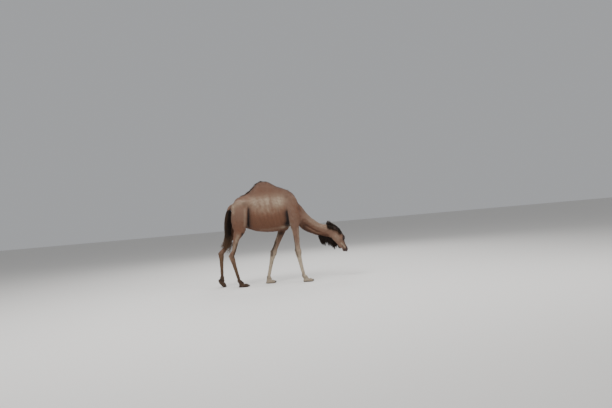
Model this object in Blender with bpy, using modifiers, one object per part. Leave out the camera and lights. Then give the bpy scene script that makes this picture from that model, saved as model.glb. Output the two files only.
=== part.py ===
"""A life-size dromedary camel that walks slowly with its head lowered to browse.

Axes: +X is forward, +Y is the animal's left, +Z is up. Units are metres. The camel is modelled
with x = 0 at its hind feet and moved at the end, so that the origin is the middle of the ground
under it. Its flesh is made whole, from lofts and muscle masses merged into one surface, and then
parted into its named pieces by thin cuts. Long hair, ears, eyes, tail and toenails are added to it.
"""

import math

import bmesh
import bpy
from mathutils import Matrix, Vector

# ---------------------------------------------------------------- driving dimensions
HUMP_TOP = 2.032  # height of the hump, with its short crest of hair
POLL = Vector((1.905, 0.0, 1.0))  # the back of the skull
HEAD_PITCH = math.radians(70)  # how far the face points below level
ALONG = Vector((math.cos(HEAD_PITCH), 0.0, -math.sin(HEAD_PITCH)))  # from the poll to the lips
FORE = Vector((math.sin(HEAD_PITCH), 0.0, math.cos(HEAD_PITCH)))  # from the jaw to the forehead
EYE_RADIUS = 0.021
EYE_PLACE = (0.250, 0.079, 0.050)  # along the head, to the side, towards the forehead
TRACK = 0.14  # half the distance between the left and right legs
GAP = 0.0004  # the thin cut between neighbouring pieces
SKIN_GAP = 0.0015  # round the root of an ear or the tail
HAIR_GAP = 0.007  # between the flesh and the hair that lies on it
GRAIN = 0.006  # voxel size of the merged flesh
HAIR_GRAIN = 0.010  # voxel size of the long hair
MUSCLE_SOFTENING = 45  # how many times the trunk and neck are smoothed
HEAD_TRIANGLES = 2000
FEET_TRIANGLES = 480  # of all four feet
FLESH_TRIANGLES = 5000  # with those of the head and the feet
STEPS = 5  # extra sections between two stations of a loft
SIDES = {"right": -1.0, "left": 1.0}

# Trunk, from the buttocks to the breast:
# forward, height of the widest place, rise to the back, drop to the belly, half-width
BARREL = (
    (-0.100, 1.42, 0.130, 0.140, 0.070),
    (-0.040, 1.45, 0.245, 0.250, 0.135),
    (0.060, 1.46, 0.300, 0.310, 0.185),
    (0.190, 1.45, 0.345, 0.335, 0.215),
    (0.330, 1.42, 0.370, 0.362, 0.255),
    (0.520, 1.39, 0.410, 0.366, 0.290),
    (0.720, 1.37, 0.425, 0.357, 0.286),
    (0.880, 1.36, 0.420, 0.320, 0.250),
    (1.020, 1.35, 0.410, 0.255, 0.210),
    (1.120, 1.32, 0.400, 0.205, 0.178),
    (1.190, 1.28, 0.330, 0.150, 0.145),
    (1.240, 1.24, 0.220, 0.100, 0.100),
)
# Hump and withers, from the loin: forward, crest height as a share of HUMP_TOP, half-width at its foot
HUMP_FOOT = 1.56
HUMP = (
    (0.060, 0.858, 0.060),
    (0.130, 0.876, 0.110),
    (0.210, 0.893, 0.150),
    (0.280, 0.913, 0.185),
    (0.345, 0.945, 0.205),
    (0.410, 0.978, 0.212),
    (0.490, 0.997, 0.215),
    (0.570, 1.000, 0.218),
    (0.660, 0.990, 0.220),
    (0.740, 0.964, 0.215),
    (0.830, 0.938, 0.205),
    (0.930, 0.918, 0.185),
    (1.020, 0.898, 0.160),
    (1.090, 0.874, 0.130),
    (1.150, 0.838, 0.100),
    (1.195, 0.790, 0.070),
)
# Neck, from inside the breast to the throat: forward, height, to the nape, to the throat, half-width
NECK = (
    (1.060, 1.400, 0.215, 0.220, 0.165),
    (1.150, 1.330, 0.190, 0.180, 0.160),
    (1.245, 1.235, 0.158, 0.145, 0.140),
    (1.340, 1.135, 0.150, 0.148, 0.116),
    (1.435, 1.065, 0.142, 0.138, 0.098),
    (1.530, 1.005, 0.132, 0.122, 0.087),
    (1.630, 0.968, 0.124, 0.124, 0.082),
    (1.730, 0.954, 0.126, 0.140, 0.082),
    (1.820, 0.940, 0.116, 0.150, 0.080),
    (1.890, 0.925, 0.090, 0.120, 0.070),
)
# Skull and muzzle, from the poll to the lips:
# along the head, offset towards the forehead, rise to the profile, drop to the jaw, half-width
SKULL = (
    (-0.045, -0.050, 0.030, 0.050, 0.035),
    (-0.015, -0.055, 0.078, 0.085, 0.060),
    (0.040, -0.055, 0.100, 0.105, 0.070),
    (0.105, -0.055, 0.118, 0.115, 0.073),
    (0.175, -0.050, 0.130, 0.118, 0.075),
    (0.240, -0.040, 0.120, 0.103, 0.071),
    (0.300, -0.036, 0.092, 0.084, 0.059),
    (0.355, -0.030, 0.074, 0.068, 0.050),
    (0.405, -0.022, 0.066, 0.055, 0.045),
    (0.450, -0.012, 0.060, 0.046, 0.044),
    (0.485, -0.006, 0.048, 0.042, 0.040),
    (0.508, -0.004, 0.030, 0.030, 0.031),
    (0.520, -0.004, 0.012, 0.012, 0.014),
)
# Lumps on both sides of the head: along, to the side, towards the forehead; then the three radii
HEAD_LUMPS = (
    ((0.215, 0.058, 0.050), (0.050, 0.030, 0.030)),  # brow
    ((0.250, 0.066, 0.030), (0.046, 0.030, 0.038)),  # orbit
    ((0.165, 0.044, -0.085), (0.105, 0.034, 0.070)),  # cheek
    ((0.300, 0.050, -0.008), (0.080, 0.016, 0.018)),  # cheekbone
    ((0.300, 0.026, -0.082), (0.110, 0.020, 0.028)),  # lower jaw
    ((0.440, 0.025, 0.024), (0.044, 0.022, 0.024)),  # nostril
    ((0.490, 0.018, 0.004), (0.034, 0.024, 0.034)),  # half of the split upper lip
    ((0.425, 0.034, -0.030), (0.040, 0.015, 0.020)),  # corner of the mouth
    ((0.466, 0.008, -0.046), (0.036, 0.024, 0.020)),  # lower lip
)

# A leg's joints from the shoulder or hip down to the foot: forward, height; and their sideways spread
FORE_SPREAD = (0.95, 1.12, 1.03, 1.00, 1.00)
HIND_SPREAD = (1.05, 1.14, 1.01, 1.00, 1.00)
JOINTS = {
    "fore_right": ((1.150, 1.300), (1.115, 1.110), (1.130, 0.595), (1.207, 0.122), (1.250, 0.060)),
    "fore_left": ((0.985, 1.300), (0.870, 1.090), (0.633, 0.600), (0.502, 0.122), (0.526, 0.060)),
    "hind_right": ((0.050, 1.300), (0.030, 1.085), (-0.155, 0.590), (-0.055, 0.125), (-0.008, 0.060)),
    "hind_left": ((0.020, 1.300), (-0.090, 1.075), (-0.400, 0.645), (-0.424, 0.200), (-0.424, 0.135)),
}
# A leg's outline: joint above, share of the way to the next, to the front, to the back, half-width
FORE_OUTLINE = (
    (0, 0.00, 0.060, 0.065, 0.030),
    (0, 0.50, 0.095, 0.110, 0.055),
    (1, 0.00, 0.088, 0.098, 0.060),
    (1, 0.25, 0.072, 0.070, 0.052),
    (1, 0.55, 0.058, 0.057, 0.045),
    (1, 0.82, 0.056, 0.054, 0.046),
    (2, 0.00, 0.066, 0.060, 0.053),
    (2, 0.16, 0.053, 0.056, 0.046),
    (2, 0.32, 0.041, 0.046, 0.037),
    (2, 0.58, 0.034, 0.037, 0.033),
    (2, 0.84, 0.033, 0.036, 0.035),
    (3, 0.00, 0.041, 0.044, 0.044),
    (4, 0.00, 0.050, 0.055, 0.050),
)
HIND_OUTLINE = (
    (0, 0.00, 0.150, 0.150, 0.080),
    (0, 0.60, 0.130, 0.150, 0.078),
    (1, 0.00, 0.110, 0.120, 0.068),
    (1, 0.28, 0.048, 0.090, 0.056),
    (1, 0.52, 0.040, 0.064, 0.046),
    (1, 0.76, 0.040, 0.050, 0.041),
    (2, -0.06, 0.050, 0.060, 0.043),
    (2, 0.08, 0.048, 0.058, 0.041),
    (2, 0.30, 0.038, 0.044, 0.035),
    (2, 0.58, 0.032, 0.034, 0.031),
    (2, 0.84, 0.032, 0.034, 0.032),
    (3, 0.00, 0.040, 0.042, 0.041),
    (4, 0.00, 0.050, 0.055, 0.048),
)
# Muscle and bone under the hide: forward, to the side, height; the radii; how far the top leans back
# and in, in degrees
SIDE_MASSES = {
    "right": (
        ((1.105, 0.128, 1.430), (0.115, 0.058, 0.270), -6, 12),  # shoulder blade
        ((1.195, 0.128, 1.270), (0.085, 0.062, 0.130), 8, 4),  # point of the shoulder
        ((1.085, 0.158, 1.215), (0.120, 0.058, 0.125), -20, 0),  # triceps
        ((1.055, 0.165, 1.115), (0.052, 0.040, 0.046), 0, 0),  # elbow
        ((0.040, 0.140, 1.560), (0.160, 0.080, 0.130), 25, 12),  # rump
        ((0.185, 0.160, 1.610), (0.090, 0.050, 0.065), 0, 20),  # hip bone
        ((0.045, 0.168, 1.330), (0.168, 0.085, 0.290), -3, 0),  # thigh
        ((0.070, 0.160, 1.100), (0.078, 0.058, 0.085), 0, 0),  # stifle
    ),
    "left": (
        ((1.090, 0.128, 1.430), (0.120, 0.058, 0.270), 4, 12),
        ((1.160, 0.128, 1.280), (0.090, 0.062, 0.130), 15, 4),
        ((0.985, 0.158, 1.220), (0.130, 0.058, 0.120), 10, 0),
        ((0.860, 0.165, 1.125), (0.052, 0.040, 0.046), 0, 0),
        ((0.040, 0.140, 1.560), (0.160, 0.080, 0.130), 25, 12),
        ((0.185, 0.160, 1.610), (0.090, 0.050, 0.065), 0, 20),
        ((0.015, 0.168, 1.330), (0.168, 0.085, 0.290), 8, 0),
        ((-0.040, 0.160, 1.085), (0.078, 0.058, 0.085), 0, 0),
    ),
}
CHEST_PAD = ((0.905, 0.0, 1.075), (0.090, 0.075, 0.055))

# Feet: forward place of the heel, length, width, how far the toes point down in degrees, and how
# deep the ground's level cuts into the toes
FEET = {
    "fore_right": (1.180, 0.205, 0.182, 0.0, 0.0),
    "fore_left": (0.432, 0.205, 0.182, 0.0, 0.0),
    "hind_right": (-0.076, 0.208, 0.160, 0.0, 0.0),
    "hind_left": (-0.512, 0.208, 0.160, 52.0, 0.012),
}
NAIL_RADII = (0.022, 0.015, 0.014)

# Tail: forward, height, to the front, to the back, half-width
DOCK = (
    (-0.060, 1.600, 0.040, 0.045, 0.045),
    (-0.140, 1.560, 0.036, 0.038, 0.038),
    (-0.192, 1.450, 0.030, 0.031, 0.031),
    (-0.213, 1.300, 0.026, 0.027, 0.027),
    (-0.226, 1.150, 0.022, 0.023, 0.023),
    (-0.242, 1.000, 0.014, 0.014, 0.014),
)
TAIL_HAIR = (
    (-0.166, 1.520, 0.034, 0.004, 0.024),
    (-0.180, 1.420, 0.062, 0.014, 0.040),
    (-0.197, 1.300, 0.064, 0.022, 0.050),
    (-0.211, 1.160, 0.062, 0.038, 0.056),
    (-0.220, 1.020, 0.070, 0.058, 0.060),
    (-0.232, 0.920, 0.074, 0.068, 0.060),
    (-0.254, 0.850, 0.056, 0.064, 0.050),
)
# Locks that end the tail, the beard and the mane: forward, to the side, height of the tip, half-breadth
TAIL_ENDS = (
    (-0.345, 0.010, 0.750, 0.020),
    (-0.308, -0.025, 0.775, 0.024),
    (-0.272, 0.025, 0.735, 0.024),
    (-0.235, -0.010, 0.765, 0.024),
    (-0.200, 0.012, 0.740, 0.020),
)
BEARD_ENDS = (
    (1.606, 0.020, 0.690, 0.020),
    (1.640, -0.026, 0.665, 0.024),
    (1.676, 0.028, 0.655, 0.024),
    (1.712, -0.020, 0.690, 0.024),
    (1.752, 0.024, 0.640, 0.026),
    (1.790, -0.028, 0.640, 0.026),
    (1.826, 0.022, 0.600, 0.024),
    (1.854, -0.018, 0.568, 0.022),
    (1.890, 0.016, 0.610, 0.022),
    (1.922, -0.008, 0.628, 0.018),
)
MANE_ENDS = (
    (1.756, 0.010, 1.134, 0.026),
    (1.788, -0.012, 1.160, 0.026),
    (1.822, 0.018, 1.130, 0.028),
    (1.854, -0.020, 1.106, 0.028),
    (1.886, 0.016, 1.080, 0.028),
    (1.918, -0.014, 1.046, 0.028),
    (1.950, 0.010, 1.008, 0.024),
)

# Where the flesh is parted: (point on the cut, direction the cut faces away from the trunk, in degrees
# below forward)
NECK_CUT = (Vector((1.255, 0.0, 1.30)), -2.0)
HEAD_CUT = (Vector((1.775, 0.0, 0.94)), 4.0)
LEG_TOPS = {"fore": 0.995, "hind": 1.070}
LEG_MIDDLES = {"fore_right": 0.675, "fore_left": 0.685, "hind_right": 0.665, "hind_left": 0.730}
LEG_ENDS = {"fore_right": 0.128, "fore_left": 0.128, "hind_right": 0.130, "hind_left": 0.212}
LEG_REACH = {"fore_right": (0.96, 1.45), "fore_left": (0.42, 1.02), "hind_right": (-0.32, 0.26),
             "hind_left": (-0.60, 0.26)}

COAT = {
    "trunk": (0.29, 0.19, 0.135),
    "neck": (0.30, 0.20, 0.15),
    "head": (0.31, 0.21, 0.15),
    "fore_upper": (0.33, 0.25, 0.19),
    "fore_lower": (0.50, 0.47, 0.42),
    "hind_upper": (0.29, 0.19, 0.13),
    "hind_lower": (0.15, 0.085, 0.045),
    "fore_foot": (0.52, 0.49, 0.44),
    "hind_foot": (0.13, 0.075, 0.040),
    "tail": (0.12, 0.075, 0.050),
    "hair": (0.012, 0.009, 0.008),
    "nail": (0.10, 0.085, 0.07),
    "eye": (0.015, 0.009, 0.006),
}


# ---------------------------------------------------------------- tools
def new_collection(name, parent=None):
    made = bpy.data.collections.new(name)
    (parent or bpy.context.scene.collection).children.link(made)
    return made


def painted(name, colour, roughness=0.85):
    material = bpy.data.materials.new(name)
    material.use_nodes = True
    shader = material.node_tree.nodes["Principled BSDF"]
    shader.inputs["Base Color"].default_value = (*colour, 1.0)
    shader.inputs["Roughness"].default_value = roughness
    return material


def make_object(name, bm, collection):
    """A new object that takes over the faces of `bm`."""
    bmesh.ops.recalc_face_normals(bm, faces=bm.faces)
    mesh = bpy.data.meshes.new(name)
    bm.to_mesh(mesh)
    bm.free()
    made = bpy.data.objects.new(name, mesh)
    collection.objects.link(made)
    return made


def settle(obj):
    """Turns the object's modifiers into plain mesh."""
    graph = bpy.context.evaluated_depsgraph_get()
    mesh = bpy.data.meshes.new_from_object(obj.evaluated_get(graph))
    obj.modifiers.clear()
    old = obj.data
    obj.data = mesh
    bpy.data.meshes.remove(old)


def combine(obj, other, operation):
    cut = obj.modifiers.new(operation.lower(), "BOOLEAN")
    cut.operation = operation
    cut.object = other
    settle(obj)


def copy_of(obj, name, collection):
    made = bpy.data.objects.new(name, obj.data.copy())
    collection.objects.link(made)
    return made


def swollen(obj, collection, growth, triangles=None):
    """A copy of the object, grown outwards everywhere, and thinned if a number of triangles is given."""
    made = copy_of(obj, "swollen_" + obj.name, collection)
    if triangles:
        thin_out(made, triangles)
    grow = made.modifiers.new("grow", "DISPLACE")
    grow.strength = growth
    grow.mid_level = 0.0
    settle(made)
    return made


def keep_largest(obj):
    """Drops the crumbs that a cut can leave beside the main body."""
    bm = bmesh.new()
    bm.from_mesh(obj.data)
    left = set(bm.verts)
    bodies = []
    while left:
        body = {left.pop()}
        edge_of_body = list(body)
        while edge_of_body:
            vert = edge_of_body.pop()
            for edge in vert.link_edges:
                other = edge.other_vert(vert)
                if other not in body:
                    body.add(other)
                    edge_of_body.append(other)
        left -= body
        bodies.append(body)
    main = max(bodies, key=len)
    bmesh.ops.delete(bm, geom=[v for v in bm.verts if v not in main], context="VERTS")
    bm.to_mesh(obj.data)
    bm.free()


def between(rows, share_of_rows):
    """The row at a place between rows, on a smooth curve through all of them."""
    last = len(rows) - 1
    at = min(int(share_of_rows), last - 1)
    t = share_of_rows - at
    before, start, end, after = (rows[min(max(at + k, 0), last)] for k in (-1, 0, 1, 2))
    mixed = []
    for a, b, c, d in zip(before, start, end, after):
        mixed.append(b + 0.5 * t * (c - a + t * (2 * a - 5 * b + 4 * c - d + t * (3 * (b - c) + d - a))))
    return tuple(mixed)


def smooth_rows(rows):
    count = (len(rows) - 1) * STEPS
    return [between(rows, k / STEPS) for k in range(count + 1)]


def add_loft(bm, sections, power=2.0, around=28):
    """A closed surface over sections: (centre, front axis, side axis, front, back, half-width).

    `power` sets the outline of a section: 2 is an ellipse, less is more pointed, more is squarer.
    """
    rings = []
    for centre, front_axis, side_axis, front, back, half_width in sections:
        ring = []
        for k in range(around):
            turn = 2 * math.pi * k / around
            c, s = math.cos(turn), math.sin(turn)
            across = math.copysign(abs(c) ** (2 / power), c) * half_width
            reach = math.copysign(abs(s) ** (2 / power), s) * (front if s > 0 else back)
            ring.append(bm.verts.new(centre + side_axis * across + front_axis * reach))
        rings.append(ring)
    for ring, following in zip(rings, rings[1:]):
        for k in range(around):
            n = (k + 1) % around
            bm.faces.new((ring[k], ring[n], following[n], following[k]))
    bm.faces.new(reversed(rings[0]))
    bm.faces.new(rings[-1])


def add_ellipsoid(bm, centre, radii, turn=Matrix.Identity(4)):
    place = Matrix.Translation(centre) @ turn @ Matrix.Diagonal((*radii, 1.0))
    bmesh.ops.create_uvsphere(bm, u_segments=24, v_segments=14, radius=1.0, matrix=place)


def path_sections(rows):
    """Sections square to a path in or beside the middle plane; rows: x, y, z, front, back, half-width."""
    rows = smooth_rows(rows)
    sections = []
    for k, (x, y, z, front, back, half_width) in enumerate(rows):
        ahead, behind = rows[min(k + 1, len(rows) - 1)], rows[max(k - 1, 0)]
        run = Vector((ahead[0] - behind[0], 0.0, ahead[2] - behind[2])).normalized()
        side = Vector((0.0, 1.0, 0.0))
        sections.append((Vector((x, y, z)), run.cross(side), side, front, back, half_width))
    return sections


def head_point(along, side, fore):
    return POLL + ALONG * along + Vector((0.0, side, 0.0)) + FORE * fore


def head_turn():
    """Turns a shape's own x, y, z to along the head, to its left and towards the forehead."""
    return Matrix((ALONG, (0.0, 1.0, 0.0), FORE)).transposed().to_4x4()


# ---------------------------------------------------------------- flesh
def add_trunk(bm):
    forward, up, side = Vector((1, 0, 0)), Vector((0, 0, 1)), Vector((0, 1, 0))
    sections = [(forward * x + up * z, up, side, rise, drop, half_width)
                for x, z, rise, drop, half_width in smooth_rows(BARREL)]
    add_loft(bm, sections, power=2.1)
    sections = [(forward * x + up * HUMP_FOOT, up, side, share * HUMP_TOP - HUMP_FOOT, 0.10, half_width)
                for x, share, half_width in smooth_rows(HUMP)]
    add_loft(bm, sections, power=1.75)
    add_ellipsoid(bm, *CHEST_PAD)


def add_neck(bm):
    rows = [(x, 0.0, z, nape, throat, half_width) for x, z, nape, throat, half_width in NECK]
    add_loft(bm, path_sections(rows), power=2.1)


def add_head(bm):
    side = Vector((0.0, 1.0, 0.0))
    sections = [(head_point(along, 0.0, offset), FORE, side, rise, drop, half_width)
                for along, offset, rise, drop, half_width in smooth_rows(SKULL)]
    add_loft(bm, sections, power=2.25)
    for (along, across, fore), radii in HEAD_LUMPS:
        for sign in SIDES.values():
            add_ellipsoid(bm, head_point(along, sign * across, fore), radii, head_turn())


def add_leg(bm, leg, sign):
    spread, outline = (FORE_SPREAD, FORE_OUTLINE) if leg.startswith("fore") else (HIND_SPREAD, HIND_OUTLINE)
    points = [(x, sign * TRACK * wide, z) for (x, z), wide in zip(JOINTS[leg], spread)]
    points.append(points[-1])
    rows = []
    for joint, share, front, back, half_width in outline:
        place = [a + share * (b - a) for a, b in zip(points[joint], points[joint + 1])]
        rows.append((*place, front, back, half_width))
    add_loft(bm, path_sections(rows), around=20)


def foot_place(leg, sign):
    """Moves a foot made with its heel at 0 and its sole on the ground to its place in the stride."""
    heel, length, _, toes_down, sunk = FEET[leg]
    tip = Matrix.Translation((length, 0.0, 0.0))
    turned = tip @ Matrix.Rotation(math.radians(toes_down), 4, "Y") @ tip.inverted()
    toe_forward = length * (1.0 - math.cos(math.radians(toes_down)))
    return Matrix.Translation((heel - toe_forward, sign * TRACK, -sunk)) @ turned


def add_foot(bm, leg, sign):
    _, length, width, _, _ = FEET[leg]
    place = foot_place(leg, sign)
    lumps = [((0.44, 0.00, 0.018), (0.46, 0.44, 0.046)),  # sole pad
             ((0.30, 0.00, 0.062), (0.26, 0.28, 0.050))]  # heel and pastern
    for toe in SIDES.values():
        lumps.append(((0.66, toe * 0.235, 0.020), (0.33, 0.255, 0.043)))  # toe
    for (along, across, height), (long, wide, tall) in lumps:
        centre = Vector((along * length, across * width, height))
        shape = Matrix.Translation(centre) @ Matrix.Diagonal((long * length, wide * width, tall, 1.0))
        bmesh.ops.create_uvsphere(bm, u_segments=20, v_segments=12, radius=1.0, matrix=place @ shape)


def add_side_masses(bm, side, sign):
    for (x, y, z), radii, lean_back, lean_in in SIDE_MASSES[side]:
        turn = Matrix.Rotation(math.radians(-lean_back), 4, "Y")
        turn = turn @ Matrix.Rotation(math.radians(sign * lean_in), 4, "X")
        add_ellipsoid(bm, (x, sign * y, z), radii, turn)


def merge(obj, grain, smoothing):
    """Makes the overlapping lumps one closed surface."""
    join = obj.modifiers.new("join", "REMESH")
    join.mode = "VOXEL"
    join.voxel_size = grain
    settle(obj)
    soften(obj, smoothing)


def soften(obj, iterations, strength=lambda place: 1.0):
    """Rounds the surface, as much as `strength`, from 0 to 1, says at each place."""
    group = obj.vertex_groups.new(name="softened")
    for vertex in obj.data.vertices:
        group.add([vertex.index], strength(vertex.co), "REPLACE")
    smooth = obj.modifiers.new("soften", "SMOOTH")
    smooth.factor = 0.5
    smooth.iterations = iterations
    smooth.vertex_group = group.name
    settle(obj)
    obj.vertex_groups.clear()


def thin_out(obj, triangles, spared=lambda place: False):
    """Thins the surface to about the given number of triangles, all outside the spared region."""
    obj.data.calc_loop_triangles()
    thin = obj.modifiers.new("thin", "DECIMATE")
    thin.ratio = min(1.0, triangles / len(obj.data.loop_triangles))
    group = obj.vertex_groups.new(name="thinned")
    group.add([v.index for v in obj.data.vertices if not spared(v.co)], 1.0, "REPLACE")
    thin.vertex_group = group.name
    settle(obj)
    obj.vertex_groups.clear()


def triangles_in(obj, region):
    obj.data.calc_loop_triangles()
    points = obj.data.vertices
    return sum(region(points[triangle.vertices[0]].co) for triangle in obj.data.loop_triangles)


def in_head(place):
    return place.x > HEAD_CUT[0].x


def in_foot(place):
    return place.z < 0.11


def in_broad_body(place):
    """1 on the trunk and the neck, fading to 0 on the legs and the head."""
    above_legs = (place.z - 0.90) / 0.20
    behind_head = (HEAD_CUT[0].x - place.x) / 0.20
    return min(max(min(above_legs, behind_head), 0.0), 1.0)


def thin_flesh(flesh):
    """Keeps the finest triangles on the head, then on the feet."""
    for region, kept in ((in_head, HEAD_TRIANGLES), (in_foot, FEET_TRIANGLES)):
        outside = triangles_in(flesh, lambda place: not region(place))
        thin_out(flesh, outside + kept, lambda place: not region(place))
    thin_out(flesh, FLESH_TRIANGLES, lambda place: in_head(place) or in_foot(place))


def make_flesh(collection, ground):
    bm = bmesh.new()
    add_trunk(bm)
    add_neck(bm)
    add_head(bm)
    for leg in JOINTS:
        sign = SIDES[leg.split("_")[1]]
        add_leg(bm, leg, sign)
        add_foot(bm, leg, sign)
    for side, sign in SIDES.items():
        add_side_masses(bm, side, sign)
    flesh = make_object("flesh", bm, collection)
    merge(flesh, GRAIN, smoothing=6)
    soften(flesh, MUSCLE_SOFTENING, in_broad_body)
    thin_flesh(flesh)
    combine(flesh, ground, "DIFFERENCE")
    return flesh


# ---------------------------------------------------------------- cuts
def big_block(name, collection, x, y, z, turn=None):
    """A box from its limits along x, y and z, which `turn` places."""
    bm = bmesh.new()
    size = (x[1] - x[0], y[1] - y[0], z[1] - z[0])
    centre = (sum(x) / 2, sum(y) / 2, sum(z) / 2)
    place = Matrix.Translation(centre) @ Matrix.Diagonal((*size, 1.0))
    bmesh.ops.create_cube(bm, size=1.0, matrix=(turn or Matrix.Identity(4)) @ place)
    return make_object(name, bm, collection)


def part_off(rest, name, collection, cutters, x, y, z, turn=None):
    """Takes what lies in a box off `rest` as a new object, with a thin cut between the two."""
    region = big_block("region_" + name, cutters, x, y, z, turn)
    wider = [(low - GAP, high + GAP) for low, high in (x, y, z)]
    wide_region = big_block("wide_region_" + name, cutters, *wider, turn)
    piece = copy_of(rest, name, collection)
    combine(piece, region, "INTERSECT")
    combine(rest, wide_region, "DIFFERENCE")
    keep_largest(piece)
    return piece


def part_flesh(flesh, collection, cutters):
    """The head, the neck and each leg in three lengths; what is left of the flesh is the trunk."""
    pieces = {}
    for name, (point, below) in (("head", HEAD_CUT), ("neck", NECK_CUT)):
        turn = Matrix.Translation(point) @ Matrix.Rotation(math.radians(below), 4, "Y")
        pieces[name] = part_off(flesh, name, collection, cutters, (0, 2), (-1, 1), (-0.5, 1.0), turn)
    for leg in JOINTS:
        sign = SIDES[leg.split("_")[1]]
        beside = (0.0, sign * 0.6)
        y = (min(beside), max(beside))
        top = LEG_TOPS[leg.split("_")[0]]
        lengths = ((f"foot_{leg}", -0.5, LEG_ENDS[leg]),
                   (f"leg_{leg}_lower", LEG_ENDS[leg] - 0.01, LEG_MIDDLES[leg]),
                   (f"leg_{leg}_upper", LEG_MIDDLES[leg] - 0.01, top))
        for name, low, high in lengths:
            pieces[name] = part_off(flesh, name, collection, cutters, LEG_REACH[leg], y, (low, high))
    flesh.name = "trunk"
    collection.objects.link(flesh)
    cutters.objects.unlink(flesh)
    keep_largest(flesh)
    pieces["trunk"] = flesh
    return pieces


# ---------------------------------------------------------------- eyes, ears, nails, tail and long hair
def make_eyes(collection):
    eyes = {}
    along, across, fore = EYE_PLACE
    for side, sign in SIDES.items():
        bm = bmesh.new()
        place = Matrix.Translation(head_point(along, sign * across, fore))
        bmesh.ops.create_uvsphere(bm, u_segments=10, v_segments=7, radius=EYE_RADIUS, matrix=place)
        eyes["eye_" + side] = make_object("eye_" + side, bm, collection)
    return eyes


def make_ears(collection, cutters):
    """Small cupped ears, set on the back of the skull and turned out and back, and the room that
    the mane leaves round each."""
    ears, rooms = [], []
    for side, sign in SIDES.items():
        tip = (-0.62 * ALONG - 0.42 * FORE + Vector((0.0, sign * 0.62, 0.0))).normalized()
        opening = (Vector((0.0, sign * 0.75, 0.0)) + 0.55 * FORE - 0.2 * ALONG).normalized()
        opening = (opening - tip * opening.dot(tip)).normalized()
        turn = Matrix((tip, tip.cross(opening), opening)).transposed().to_4x4()
        middle = head_point(0.048, sign * 0.058, 0.004) + tip * 0.040
        shapes = (("ear_", collection, middle, (0.062, 0.029, 0.018)),
                  ("cup_", cutters, middle + tip * 0.014 + opening * 0.012, (0.038, 0.019, 0.013)),
                  ("room_", cutters, middle, (0.067, 0.033, 0.022)))
        made = []
        for prefix, home, centre, radii in shapes:
            bm = bmesh.new()
            add_ellipsoid(bm, centre, radii, turn)
            made.append(make_object(prefix + side, bm, home))
        ear, cup, room = made
        combine(ear, cup, "DIFFERENCE")
        thin_out(ear, 110)
        ears.append(ear)
        rooms.append(room)
    return ears, rooms


def make_nails(collection):
    """Two nails on the front of each foot."""
    nails = {}
    for leg, (_, length, width, _, _) in FEET.items():
        place = foot_place(leg, SIDES[leg.split("_")[1]])
        for toe, across in (("inner", 0.235), ("outer", -0.235)):
            bm = bmesh.new()
            centre = Matrix.Translation((0.945 * length, across * width, 0.026))
            tip_down = Matrix.Rotation(math.radians(28), 4, "Y")
            shape = place @ centre @ tip_down @ Matrix.Diagonal((*NAIL_RADII, 1.0))
            bmesh.ops.create_uvsphere(bm, u_segments=7, v_segments=4, radius=1.0, matrix=shape)
            name = f"nail_{leg}_{toe}"
            nails[name] = make_object(name, bm, collection)
    return nails


def add_lock(bm, root, end, half_breadth):
    """A tapering lock of hair from its root to its tip."""
    run = end - root
    side = Vector((0.0, 1.0, 0.0))
    front = run.normalized().cross(side).normalized()
    across = front.cross(run.normalized())
    sections = []
    for share, width in ((0.0, 0.75), (0.3, 1.0), (0.6, 0.9), (0.85, 0.5), (1.0, 0.12)):
        breadth = half_breadth * width
        sections.append((root + run * share, front, across, breadth, breadth, breadth))
    add_loft(bm, sections, around=10)


def make_tail(collection):
    bm = bmesh.new()
    rows = [(x, 0.0, z, front, back, half_width) for x, z, front, back, half_width in DOCK]
    add_loft(bm, path_sections(rows), around=16)
    tail = make_object("tail", bm, collection)
    thin_out(tail, 140)
    return tail


def make_tail_hair(collection):
    bm = bmesh.new()
    rows = [(x, 0.0, z, front, back, half_width) for x, z, front, back, half_width in TAIL_HAIR]
    add_loft(bm, path_sections(rows), around=16)
    for x, y, z, half_breadth in TAIL_ENDS:
        add_lock(bm, Vector((0.6 * x - 0.085, 0.8 * y, 0.93)), Vector((x, y, z)), half_breadth)
    hair = make_object("tail_tuft", bm, collection)
    merge(hair, HAIR_GRAIN, smoothing=2)
    thin_out(hair, 250)
    return hair


def make_beard(collection):
    """The fringe of separate locks that hangs from the throat and the jaw."""
    bm = bmesh.new()
    for x, y, z, half_breadth in BEARD_ENDS:
        throat = 0.885 - 0.50 * (x - 1.60)
        for sign in SIDES.values():
            root = Vector((x - 0.012, sign * 0.030, throat + 0.01))
            add_lock(bm, root, Vector((x, y + sign * 0.012, z)), half_breadth)
    beard = make_object("throat_beard", bm, collection)
    merge(beard, HAIR_GRAIN, smoothing=2)
    thin_out(beard, 330)
    return beard


def make_mane(collection):
    """The tuft of hair that stands on the poll and the end of the nape."""
    bm = bmesh.new()
    for x, y, z, half_breadth in MANE_ENDS:
        root = Vector((x - 0.004, 0.4 * y, z - 0.115))
        add_lock(bm, root, Vector((x, y, z)), half_breadth)
        for sign in SIDES.values():
            root = Vector((x, sign * 0.045, z - 0.125))
            add_lock(bm, root, Vector((x - 0.01, sign * 0.050, z - 0.035)), half_breadth)
    mane = make_object("poll_mane", bm, collection)
    merge(mane, HAIR_GRAIN, smoothing=2)
    thin_out(mane, 240)
    return mane


# ---------------------------------------------------------------- the whole camel
def clear_scene():
    for obj in list(bpy.data.objects):
        bpy.data.objects.remove(obj)


def stand_on_origin(pieces):
    """Moves the camel so that the middle of the ground under it is the origin."""
    corners = [vertex.co for piece in pieces for vertex in piece.data.vertices]
    low, high = (Vector(pick(c[k] for c in corners) for k in range(3)) for pick in (min, max))
    shift = Matrix.Translation((-(low.x + high.x) / 2, -(low.y + high.y) / 2, -low.z))
    for piece in pieces:
        piece.data.transform(shift)


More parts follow.
